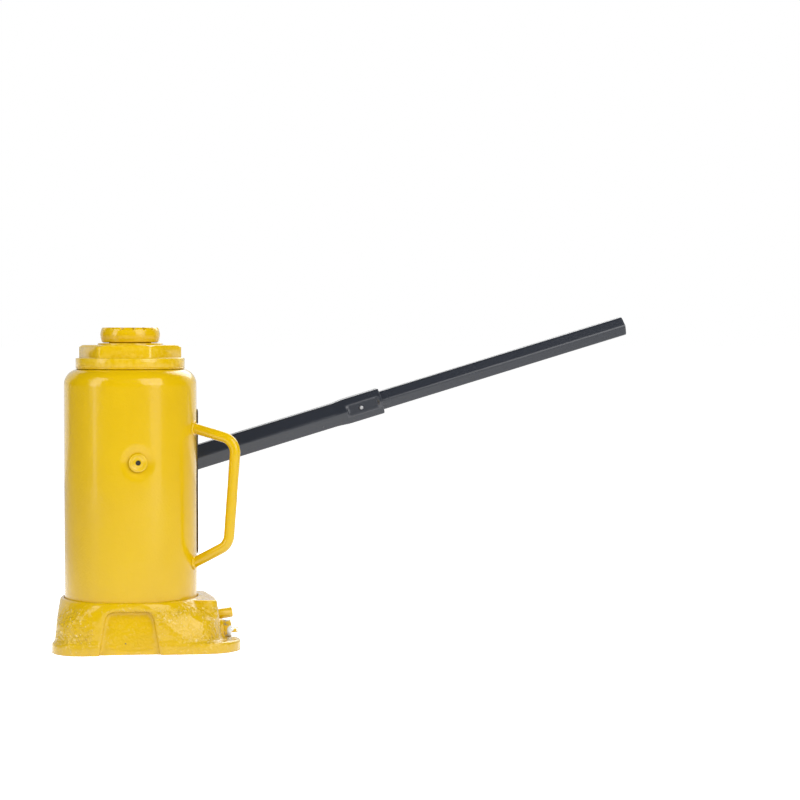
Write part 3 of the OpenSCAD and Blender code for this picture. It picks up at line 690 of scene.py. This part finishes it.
def polyCurve(name, points):
    curve = bpy.data.curves.new(name, "CURVE")
    curve.dimensions = "3D"
    spline = curve.splines.new("POLY")
    spline.points.add(len(points) - 1)
    for point, place in zip(spline.points, points):
        point.co = (*place, 1)
    holder = bpy.data.objects.new(name, curve)
    bpy.context.scene.collection.objects.link(holder)
    return holder


# Reservoir shell

shellLook = {
    "across": 320,
    "down": 120,
    "wall": 2.5,
    "shoulder": 12,
    "shoulderSteps": 14,
    "mouth": 39.75,
    "dimpleRadius": 13.5,
    "dimpleDepth": 1.9,
    "hole": 5.05,
}


def roundCorner(centre, radius, first, last, steps):
    turns = [first + (last - first) * k / steps for k in range(steps + 1)]
    return [(centre[0] + radius * math.cos(a), centre[1] + radius * math.sin(a)) for a in turns]


def buildShell(look):
    low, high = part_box("reservoir_shell")
    plugLow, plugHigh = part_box("filler_plug")
    radius, wall, shoulder = high.x, look["wall"] * mm, look["shoulder"] * mm
    mouth = look["mouth"] * mm
    bottom, top, plugZ = low.z, high.z, (plugLow.z + plugHigh.z) / 2
    rise = top - shoulder - bottom
    profile = [(radius - 0.4 * mm, bottom), (radius, bottom + 0.4 * mm)]
    profile += [(radius, bottom + rise * k / look["down"]) for k in range(1, look["down"])]
    profile += roundCorner(
        (radius - shoulder, top - shoulder), shoulder, 0, math.pi / 2 - 0.16, look["shoulderSteps"]
    )
    profile += [(mouth, top - 0.1 * mm), (mouth, top - wall)]
    inner = roundCorner((radius - shoulder, top - shoulder), shoulder - wall, math.pi / 2 - 0.2, 0, 8)
    profile += inner + [(radius - wall, bottom)]
    across = look["across"]
    points = []
    for r, z in profile:
        for j in range(across):
            turn = 2 * math.pi * j / across
            sink = 0
            if r > radius - shoulder / 2 and abs(z - plugZ) < 0.02:
                gap = math.remainder(turn + math.pi / 2, 2 * math.pi)
                away = math.hypot(gap * radius, z - plugZ) / (look["dimpleRadius"] * mm)
                if away < 1 and r > radius - wall / 2:
                    sink = look["dimpleDepth"] * mm * (1 - away**2.4) ** 1.5
            points.append(((r - sink) * math.cos(turn), (r - sink) * math.sin(turn), z))
    mesh = cleaned(meshFrom("reservoirShell", points, gridFaces(len(profile), across, True)))
    cutter = bpy.data.meshes.new("cutter")
    work = bmesh.new()
    bmesh.ops.create_cone(
        work,
        cap_ends=True,
        segments=48,
        radius1=look["hole"] * mm,
        radius2=look["hole"] * mm,
        depth=20 * mm,
        matrix=Matrix.Translation((0, -radius, plugZ)) @ Matrix.Rotation(math.pi / 2, 4, "X"),
    )
    work.to_mesh(cutter)
    work.free()
    drill = bpy.data.objects.new("drill", cutter)
    bpy.context.scene.collection.objects.link(drill)
    mesh = withModifier(mesh, "BOOLEAN", operation="DIFFERENCE", object=drill, solver="EXACT")
    bpy.data.objects.remove(drill)
    addPiece("reservoirShell", mesh, "yellow_enamel", "root", ["reservoir_shell"], 30)


# Lathe-turned pieces


def turned(profile, across, matrix=Matrix.Identity(4), closedProfile=False):
    # Profile of (radius, height) turned about Z; radius 0 makes a pole
    turns = np.linspace(0, 2 * math.pi, across, False)
    points = [(r * math.cos(a), r * math.sin(a), z) for r, z in profile for a in turns]
    mesh = meshFrom("turned", points, gridFaces(len(profile), across, closedProfile))
    mesh.transform(matrix)
    return cleaned(mesh)


seamLook = {"sides": 10, "across": 200, "reach": 0.42, "tall": 0.62, "inset": 0.35}


def buildPaintSeam(look):
    # Paint bridging the joint between the nut's collar and the shell
    low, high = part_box("shell_top_gasket")
    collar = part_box("top_nut")[1].x
    mid, tall = (low.z + high.z) / 2, high.z - low.z
    reach, half = look["reach"] * mm, look["tall"] * tall
    profile = [
        (collar - look["inset"] * mm + reach * math.cos(a), mid + half * math.sin(a))
        for a in np.linspace(0, 2 * math.pi, look["sides"], False)
    ]
    addPiece(
        "paintSeam", turned(profile, look["across"], closedProfile=True), "yellow_enamel", "root", [], 80
    )


fillerLook = {"head": 7.0, "stem": 4.9, "hole": 1.9, "step": 4.4, "stepDeep": 0.55}


def buildFillerPlug(look):
    low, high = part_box("filler_plug")
    face, plugZ = -low.y, (low.z + high.z) / 2
    head, stem, hole = look["head"] * mm, look["stem"] * mm, look["hole"] * mm
    step, deep = look["step"] * mm, look["stepDeep"] * mm
    profile = [(0, face - 3.1 * mm), (hole, face - 3.0 * mm), (hole, face - deep - 0.25 * mm)]
    profile += [(hole + 0.3 * mm, face - deep + 0.1 * mm), (step - 0.9 * mm, face - deep + 0.1 * mm)]
    profile += [
        (step - 0.4 * mm, face - deep - 0.15 * mm),
        (step, face - deep),
        (step + 0.5 * mm, face - 0.08 * mm),
    ]
    profile += roundCorner((head - 1.2 * mm, face - 1.2 * mm), 1.2 * mm, math.pi / 2, 0, 6)
    profile += [(head, face - 1.95 * mm), (stem, face - 2.25 * mm), (stem, face - 5.0 * mm)]
    profile += [(stem - 0.6 * mm, -high.y + 0.3 * mm), (stem - 1.2 * mm, -high.y), (0, -high.y)]
    matrix = Matrix.Translation((0, 0, plugZ)) @ Matrix.Rotation(math.pi / 2, 4, "X")
    mesh = turned(profile, 64, matrix)
    markEdges(mesh)
    addPiece("fillerPlug", mesh, "yellow_enamel", "filler_plug", ["filler_plug"], 40)
    # Painted shade: a black disc set in the hole below its mouth makes the hole read dark
    holeShade = [(0, face - 1.1 * mm), (hole - 0.25 * mm, face - 1.15 * mm), (hole - 0.03 * mm, face - 1.4 * mm)]
    holeShade += [(hole - 0.03 * mm, face - 2.8 * mm), (0, face - 2.8 * mm)]
    addPiece("fillerPlugHoleShade", turned(holeShade, 40, matrix), "seal_rubber", "filler_plug", [], 40)


# Extension screw with its saddle

screwLook = {
    "radius": 15.93,
    "neck": 13.3,
    "pitch": 6.0,
    "depth": 1.9,
    "across": 384,
    "rowsPerPitch": 10,
    "notches": 16,
    "notchWidth": 2.2,
    "notchDepth": 1.6,
    "land": 0.45,
}


def threadDip(phase):
    # Depth share of a trapezoid thread at a phase from 0 to 1
    away = abs(phase % 1 - 0.5) * 2
    return min(1, max(0, (0.72 - away) / 0.34))


def buildExtensionScrew(look):
    low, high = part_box("extension_screw")
    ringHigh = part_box("screw_stop_ring")[1].z
    saddleRadius = high.x
    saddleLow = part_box("ram_tube")[1].z + 0.4 * mm
    tall = high.z - saddleLow
    neck = look["neck"] * mm
    rowHeight = look["pitch"] / look["rowsPerPitch"] * mm
    rows = int((saddleLow - ringHigh - 0.4 * mm) / rowHeight)
    heights = [ringHigh + 0.3 * mm + rowHeight * k for k in range(rows)] + [saddleLow]
    rings = [(0, low.z, False), (neck, low.z, False), (neck, heights[0], False)]
    rings += [(look["radius"] * mm, z, True) for z in heights]
    rings += [(saddleRadius - 2.2 * mm, saddleLow, False)]
    barrel = [
        (0.9, 0.06),
        (0.45, 0.22),
        (0.1, 0.38),
        (0, 0.5),
        (0.1, 0.62),
        (0.45, 0.78),
        (0.9, 0.9),
        (1.5, 0.97),
    ]
    rings += [(saddleRadius - inset * mm, saddleLow + share * tall, False) for inset, share in barrel]
    topRadii = [saddleRadius - 2.0 * mm - k * 0.9 * mm for k in range(14)]
    rings += [(r, high.z, False) for r in topRadii] + [(0, high.z, False)]
    across = look["across"]
    points = []
    for r, z, threaded in rings:
        for j in range(across):
            turn = 2 * math.pi * j / across
            radius, height = r, z
            if threaded:
                fade = min(1, (saddleLow - z) / (5 * mm), (z - heights[0]) / (2 * mm) + 0.2)
                radius -= look["depth"] * mm * fade * threadDip(z / (look["pitch"] * mm) - j / across)
            elif z > saddleLow + 0.8 * tall and r > saddleRadius * look["land"]:
                spoke = 2 * math.pi / look["notches"]
                off = math.remainder(turn, spoke)
                if abs(r * math.sin(off)) < look["notchWidth"] / 2 * mm:
                    height = min(z, high.z - look["notchDepth"] * mm)
            points.append((radius * math.cos(turn), radius * math.sin(turn), height))
    mesh = cleaned(meshFrom("extensionScrew", points, gridFaces(len(rings), across)))
    markEdges(mesh, 40)
    addPiece("extensionScrew", mesh, "yellow_enamel", "extension_screw", ["extension_screw"], 40)


# Carrying handle and its welds

barLook = {
    "high": 166.5,
    "highDrop": 9.5,
    "low": 64.0,
    "lowLift": 14.5,
    "reach": 33,
    "lowReach": 27,
    "turn": -25.0,
    "radius": 4,
    "bend": 12.0,
    "sides": 28,
    "spacing": 1.5,
    "beadSize": 1.5,
    "beads": 19,
    "jitter": 0.22,
    "seed": 4,
}


def makeBarTree():
    tree, start, end = geometryTree(
        "bentBar",
        [
            ("Bar Radius", "NodeSocketFloat", 0.004),
            ("Bend Radius", "NodeSocketFloat", 0.012),
            ("Sides", "NodeSocketInt", 24),
            ("Spacing", "NodeSocketFloat", 0.0015),
        ],
    )
    filleted = addNode(
        tree,
        "GeometryNodeFilletCurve",
        {"Curve": start.outputs["Geometry"], "Radius": start.outputs["Bend Radius"]},
    )
    filleted.mode = "POLY"
    filleted.inputs["Count"].default_value = 14
    spaced = addNode(
        tree, "GeometryNodeResampleCurve", {
            "Curve": filleted.outputs[0],
            "Length": start.outputs["Spacing"],
        }, mode="LENGTH"
    )
    ring = addNode(
        tree,
        "GeometryNodeCurvePrimitiveCircle",
        {"Resolution": start.outputs["Sides"], "Radius": start.outputs["Bar Radius"]},
    )
    swept = addNode(
        tree, "GeometryNodeCurveToMesh", {
            "Curve": spaced.outputs[0],
            "Profile Curve": ring.outputs[0],
            "Fill Caps": True,
        }
    )
    endTree(tree, end, swept.outputs[0], materials["yellow_enamel"])
    return tree


def makeBeadTree():
    tree, start, end = geometryTree(
        "weldBeads",
        [
            ("Bead Size", "NodeSocketFloat", 0.002),
            ("Jitter", "NodeSocketFloat", 0.15),
            ("Seed", "NodeSocketInt", 1),
        ],
    )
    bead = addNode(
        tree, "GeometryNodeMeshIcoSphere", {"Radius": start.outputs["Bead Size"], "Subdivisions": 3}
    )
    lowest = addNode(tree, "ShaderNodeMath", {0: 1.0, 1: start.outputs["Jitter"]}, operation="SUBTRACT")
    highest = addNode(tree, "ShaderNodeMath", {0: 1.0, 1: start.outputs["Jitter"]}, operation="ADD")
    size = addNode(tree, "FunctionNodeRandomValue", data_type="FLOAT")
    floats = [s for s in size.inputs if s.type == "VALUE"]
    tree.links.new(lowest.outputs[0], floats[0])
    tree.links.new(highest.outputs[0], floats[1])
    tree.links.new(start.outputs["Seed"], size.inputs["Seed"])
    placed = addNode(
        tree,
        "GeometryNodeInstanceOnPoints",
        {"Points": start.outputs["Geometry"], "Instance": bead.outputs[0]},
    )
    chosen = [s for s in size.outputs if s.type == "VALUE" and s.enabled][0]
    tree.links.new(chosen, placed.inputs["Scale"])
    endTree(tree, end, placed.outputs[0], materials["yellow_enamel"])
    return tree


def buildCarryHandle(look):
    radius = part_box("reservoir_shell")[1].x
    high, low = look["high"] * mm, look["low"] * mm
    foot = radius - 0.8 * mm
    corners = [
        (foot, 0, high),
        (radius + look["reach"] * mm, 0, high - look["highDrop"] * mm),
        (radius + look["lowReach"] * mm, 0, low + look["lowLift"] * mm),
        (foot, 0, low),
    ]
    plane = Matrix.Rotation(math.radians(look["turn"]), 4, "Z")
    path = [plane @ Vector(p) for p in corners]
    values = {"Bar Radius": look["radius"] * mm, "Bend Radius": look["bend"] * mm}
    values |= {"Sides": look["sides"], "Spacing": look["spacing"] * mm}
    mesh = cleaned(runTree(polyCurve("barPath", path), makeBarTree(), values))
    for vert in mesh.vertices:
        push = noise.noise(vert.co * 300) * 0.05 + noise.noise(vert.co * 60) * 0.12
        vert.co += vert.normal * push * mm
    addPiece("carryHandle", mesh, "yellow_enamel", "root", ["carry_handle"], 50)
    beads = []
    for a, b in ((0, 1), (3, 2)):
        along = (path[b] - path[a]).normalized()
        side = Vector((0, 0, 1)).cross(along).normalized()
        over = along.cross(side)
        for k in range(look["beads"]):
            turn = 2 * math.pi * k / look["beads"]
            spoke = side * math.cos(turn) + over * math.sin(turn)
            place = path[a] + along * 1.5 * mm + spoke * (4.5 * mm)
            flat = Vector((place.x, place.y, 0)).normalized() * (radius + 0.1 * mm)
            beads.append((flat.x, flat.y, place.z))
    values = {"Bead Size": look["beadSize"] * mm, "Jitter": look["jitter"], "Seed": look["seed"]}
    mesh = runTree(pointCloud("beadPoints", beads), makeBeadTree(), values)
    mesh = withModifier(mesh, "REMESH", mode="VOXEL", voxel_size=0.00035)
    addPiece("handleWelds", cleaned(mesh), "yellow_enamel", "root", ["handle_welds"], 80)


# Blank label, lifting along its near edge

labelLook = {
    "from": -8.6,
    "to": 45.0,
    "low": 70.0,
    "high": 180.0,
    "across": 60,
    "down": 70,
    "corner": 4.0,
    "lift": 0.62,
    "thick": 0.45,
}


def buildLabel(look):
    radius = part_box("reservoir_shell")[1].x
    across, down = look["across"], look["down"]
    points, faces, back = [], [], []
    wide = math.radians(look["to"] - look["from"]) * radius
    tall = (look["high"] - look["low"]) * mm
    corner = look["corner"] * mm
    for layer in (0, 1):
        for i in range(down + 1):
            v = tall * i / down
            edge = min(v, tall - v)
            trim = corner - math.sqrt(max(0, corner**2 - (corner - edge) ** 2)) if edge < corner else 0
            for j in range(across + 1):
                u = trim + (wide - 2 * trim) * j / across
                near = math.exp(-u / (5 * mm))
                wavy = 0.85 + 0.15 * math.sin(v * 70)
                r = radius + (0.08 + look["lift"] * near * wavy + look["thick"] * layer) * mm
                turn = math.radians(look["from"]) + u / radius
                points.append((r * math.cos(turn), r * math.sin(turn), look["low"] * mm + v))
                back.append(1 - layer)
    size = (down + 1) * (across + 1)
    rim = [j for j in range(across + 1)]
    rim += [i * (across + 1) + across for i in range(1, down + 1)]
    rim += [down * (across + 1) + j for j in range(across - 1, -1, -1)]
    rim += [i * (across + 1) for i in range(down - 1, 0, -1)]
    for i in range(down):
        for j in range(across):
            a = i * (across + 1) + j
            quad = (a, a + 1, a + across + 2, a + across + 1)
            faces += [tuple(reversed(quad)), tuple(k + size for k in quad)]
    faces += [
        (rim[k], rim[(k + 1) % len(rim)], rim[(k + 1) % len(rim)] + size, rim[k] + size)
        for k in range(len(rim))
    ]
    mesh = meshFrom("label", points, faces)
    attribute = mesh.attributes.new("backSide", "FLOAT", "POINT")
    attribute.data.foreach_set("value", np.array(back, np.float32))
    addPiece("blankLabel", mesh, "label_film", "root", ["label_plate"], 40)


# Pump handle tubes

tubeLook = {
    "lowerStart": -30.6,
    "lowerEnd": 201.6,
    "overlap": 35.0,
    "upperLength": 249.0,
    "rise": 16.4,
    "socketDrop": 21.5,
    "corner": 2.4,
    "perCorner": 7,
    "perFlat": 9,
    "lowerFlats": (19, 15.8),
    "upperFlats": (15, 11.8),
    "swage": 34.0,
    "swageGrowth": 1.7,
    "taper": 14.0,
    "recess": (30, 2.6),
    "recessPlane": 9.35,
}


def hexOutline(flat, corner, perCorner, perFlat):
    # Hexagon with flats above and below, and rounded corners to both sides
    reach = (flat / 2 - corner) / math.cos(math.pi / 6)
    outline = []
    for k in range(6):
        turn = math.pi / 3 * k
        centre = Vector((reach * math.cos(turn), reach * math.sin(turn)))
        arc = []
        for i in range(perCorner + 1):
            a = turn - math.pi / 6 + math.pi / 3 * i / perCorner
            arc.append(centre + Vector((math.cos(a), math.sin(a))) * corner)
        if outline:
            last = outline[-1]
            outline += [last.lerp(arc[0], i / perFlat) for i in range(1, perFlat)]
        outline += arc
    last, first = outline[-1], outline[0]
    outline += [last.lerp(first, i / perFlat) for i in range(1, perFlat)]
    return outline


def buildTube(name, node, span, flats, inner, look, recess=None, step=2.0):
    # flats(s) and inner(s) give the outer and inner size across the flats at distance s along the tube
    start, end = span
    pivotLow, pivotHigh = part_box("link_socket_pin")
    pivot = (pivotLow + pivotHigh) / 2
    socketDrop = look["socketDrop"] * mm
    rise = math.radians(look["rise"])
    along = Vector((math.cos(rise), 0, math.sin(rise)))
    up = Vector((-math.sin(rise), 0, math.cos(rise)))
    count = max(2, round((end - start) / step))
    stations = [start + 0.35] + [start + (end - start) * k / count for k in range(1, count)] + [end - 0.35]
    rings = [(start, -0.35, True)] + [(s, 0, True) for s in stations] + [(end, -0.35, True)]
    rings += [(end, 0, False)] + [(s, 0, False) for s in reversed(stations)] + [(start, 0, False)]
    points = []
    for s, trim, outer in rings:
        flat = (flats(s) if outer else inner(s)) + 2 * trim
        corner = look["corner"] if outer else look["corner"] - 1.4
        for p in hexOutline(flat, corner, look["perCorner"], look["perFlat"]):
            side, high = p.x, p.y
            if recess and outer and side < 0:
                side = -recess(s, -side)
            points.append(
                pivot + Vector((0, side * mm, 0)) + up * (high * mm + socketDrop) + along * (s * mm)
            )
    columns = len(hexOutline(10, 1, look["perCorner"], look["perFlat"]))
    mesh = cleaned(meshFrom(name, points, gridFaces(len(rings), columns, True)))
    markEdges(mesh, 9)
    return addPiece(name, mesh, "handle_enamel", bodyOf[node], [node], 45)


def smooth(value):
    value = min(1, max(0, value))
    return value * value * (3 - 2 * value)


def buildHandle(look):
    lowerStart, lowerEnd = look["lowerStart"], look["lowerEnd"]
    upperStart = lowerEnd - look["overlap"]
    upperEnd = upperStart + look["upperLength"]
    swageStart = lowerEnd - look["swage"]

    outside, inside = look["lowerFlats"]
    upperOutside, upperInside = look["upperFlats"]

    def lowerFlats(s):
        return outside + look["swageGrowth"] * smooth((s - swageStart) / look["taper"] + 0.5)

    def recess(s, side):
        first, last = look["recess"]
        share = smooth((s - (lowerEnd - first)) / 1.2) * smooth((lowerEnd - last - s) / 1.2)
        return side - max(0, side - look["recessPlane"]) * share

    lowerSpan, upperSpan = (lowerStart, lowerEnd), (upperStart, upperEnd)
    buildTube(
        "handleLowerTube", "handle_lower_tube", lowerSpan, lowerFlats, lambda s: inside, look, recess, 1.0
    )
    flats = lambda s: upperOutside
    buildTube("handleUpperTube", "handle_upper_tube", upperSpan, flats, lambda s: upperInside, look)


# Base casting

castLook = {
    "voxel": 0.95,
    "rounding": 6,
    "grain": 0.6,
    "grainScale": 400.0,
    "lumps": 0.22,
    "lumpScale": 80.0,
    "patchScale": 38,
    "pocketMiddle": -13,
    "pocketHalf": 19,
    "pocketTop": 32,
    "lipLow": 36,
    "flangeTop": 6,
}


def castMask(co):
    # 1 on rough outer walls, 0 on machined seats, bores and the flat underside
    low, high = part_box("pump_cylinder")
    pumpX, pumpY, pumpR = (low.x + high.x) / 2, (low.y + high.y) / 2, (high.x - low.x) / 2
    x, y, z = co[:, 0], co[:, 1], co[:, 2]
    out = np.hypot(x, y)
    mask = np.clip((out - 51.2 * mm) / (1.6 * mm), 0, 1)
    mask *= np.clip((z - 0.7 * mm) / (1.5 * mm), 0, 1)
    toPump = np.hypot(x - pumpX, y - pumpY)
    mask *= np.where(z > 20 * mm, np.clip((toPump - pumpR - 1 * mm) / (1.5 * mm), 0, 1), 1)
    pinLow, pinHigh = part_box("link_base_pin")
    pinX, pinZ = (pinLow.x + pinHigh.x) / 2, (pinLow.z + pinHigh.z) / 2
    toPin = np.hypot(x - pinX, z - pinZ)
    nearLug = (np.abs(y - pumpY) < 7 * mm) & (toPin < 12 * mm)
    mask = np.where(nearLug, 0, mask)
    for node, room in (("release_gland_nut", 9.5), ("safety_valve_plug", 6.5)):
        low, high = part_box(node)
        toAxis = np.hypot(y - (low.y + high.y) / 2, z - (low.z + high.z) / 2)
        mask = np.where((x > 40 * mm) & (toAxis < room * mm), 0, mask)
    for node in ("inlet_valve_plug", "outlet_valve_plug"):
        low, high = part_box(node)
        toAxis = np.hypot(x - (low.x + high.x) / 2, y - (low.y + high.y) / 2)
        mask = np.where((z < 12 * mm) & (toAxis < 9 * mm), 0, mask)
    return mask


def softenMesh(mesh, mask, rounds):
    count = len(mesh.vertices)
    co = np.zeros(count * 3)
    mesh.vertices.foreach_get("co", co)
    co = co.reshape(-1, 3)
    edges = np.zeros(len(mesh.edges) * 2, int)
    mesh.edges.foreach_get("vertices", edges)
    edges = edges.reshape(-1, 2)
    degree = np.bincount(edges.ravel(), minlength=count)[:, None]
    for _ in range(rounds):
        total = np.zeros_like(co)
        np.add.at(total, edges[:, 0], co[edges[:, 1]])
        np.add.at(total, edges[:, 1], co[edges[:, 0]])
        co += (total / np.maximum(degree, 1) - co) * (mask[:, None] * 0.6)
    mesh.vertices.foreach_set("co", co.ravel())
    mesh.update()
    return co


def buildCasting(look):
    mesh = cleaned(frame["nodes"]["base_casting"].data.copy(), 4e-6)
    mesh = withModifier(mesh, "REMESH", mode="VOXEL", voxel_size=look["voxel"] * mm)
    co = np.array([v.co for v in mesh.vertices])
    mask = castMask(co)
    co = softenMesh(mesh, mask, look["rounding"])
    normals = np.array([v.normal for v in mesh.vertices])
    # Smooth in the front pocket, along the lip and on the flange
    pocket = np.clip(
        (np.abs(co[:, 0] - look["pocketMiddle"] * mm) - look["pocketHalf"] * mm) / (4 * mm), 0, 1
    )
    pocket = np.where((co[:, 1] < -40 * mm) & (co[:, 2] < look["pocketTop"] * mm), pocket, 1)
    calm = np.clip((look["lipLow"] * mm - co[:, 2]) / (5 * mm), 0.12, 1) * np.clip(pocket, 0.1, 1)
    calm *= np.clip((co[:, 2] - look["flangeTop"] * mm) / (4 * mm), 0.3, 1)
    patches = np.array([noise.noise(Vector(p) * look["patchScale"] + Vector((3, 1, 7))) for p in co])
    rough = np.clip(patches * 1.6 + 0.62, 0.15, 1)
    push = np.zeros(len(co))
    for i in np.nonzero(mask > 0)[0]:
        point = Vector(co[i])
        fine = noise.noise(point * look["grainScale"]) * look["grain"]
        broad = noise.noise(point * look["lumpScale"]) * look["lumps"]
        push[i] = (fine * rough[i] + broad) * calm[i]
    co += normals * (push * mask * mm)[:, None]
    co[:, 2] = np.maximum(co[:, 2], 0)
    mesh.vertices.foreach_set("co", co.ravel())
    mesh.update()
    attribute = mesh.attributes.new("roughMask", "FLOAT", "POINT")
    attribute.data.foreach_set("value", (0.12 + 0.88 * rough * calm * mask).astype(np.float32))
    addPiece("baseCasting", mesh, "yellow_cast", "root", ["base_casting"], 60)


# Small pieces that keep their shape and get rounded edges

rounded = {
    "top_nut": ("topNut", 0.55, 3),
    "pump_cylinder": ("pumpCylinder", 0.4, 2),
    "pump_gland_nut": ("pumpGlandNut", 0.5, 2),
    "pump_plunger": ("pumpPlunger", 0.3, 2),
    "link_plate_inner": ("linkPlateInner", 0.5, 2),
    "link_plate_outer": ("linkPlateOuter", 0.5, 2),
    "link_base_pin": ("linkBasePin", 0.3, 2),
    "link_socket_pin": ("linkSocketPin", 0.3, 2),
    "plunger_pin": ("plungerPin", 0.3, 2),
    "link_pin_clips": ("linkPinClips", 0.15, 1),
    "plunger_pin_clips": ("plungerPinClips", 0.15, 1),
    "handle_socket": ("handleSocket", 0.8, 3),
    "release_gland_nut": ("releaseGlandNut", 0.35, 2),
    "release_spindle": ("releaseSpindle", 0.35, 2),
    "safety_valve_plug": ("safetyValvePlug", 0.4, 2),
    "ram_tube": ("ramTube", 0.4, 2),
    "handle_rivet": ("handleRivet", 0.25, 3),
}

makeCamera(cameraView)
makeStudio(studio, cameraView)
print("camera and studio made")
for node, (name, bevel, segments) in rounded.items():
    finishedCopy(node, name, bevel, segments)
print("rounded pieces made")
buildShell(shellLook)
buildFillerPlug(fillerLook)
buildPaintSeam(seamLook)
print("shell made")
buildExtensionScrew(screwLook)
buildCarryHandle(barLook)
buildLabel(labelLook)
print("screw, handle and label made")
buildHandle(tubeLook)
buildCasting(castLook)
print("tubes and casting made")
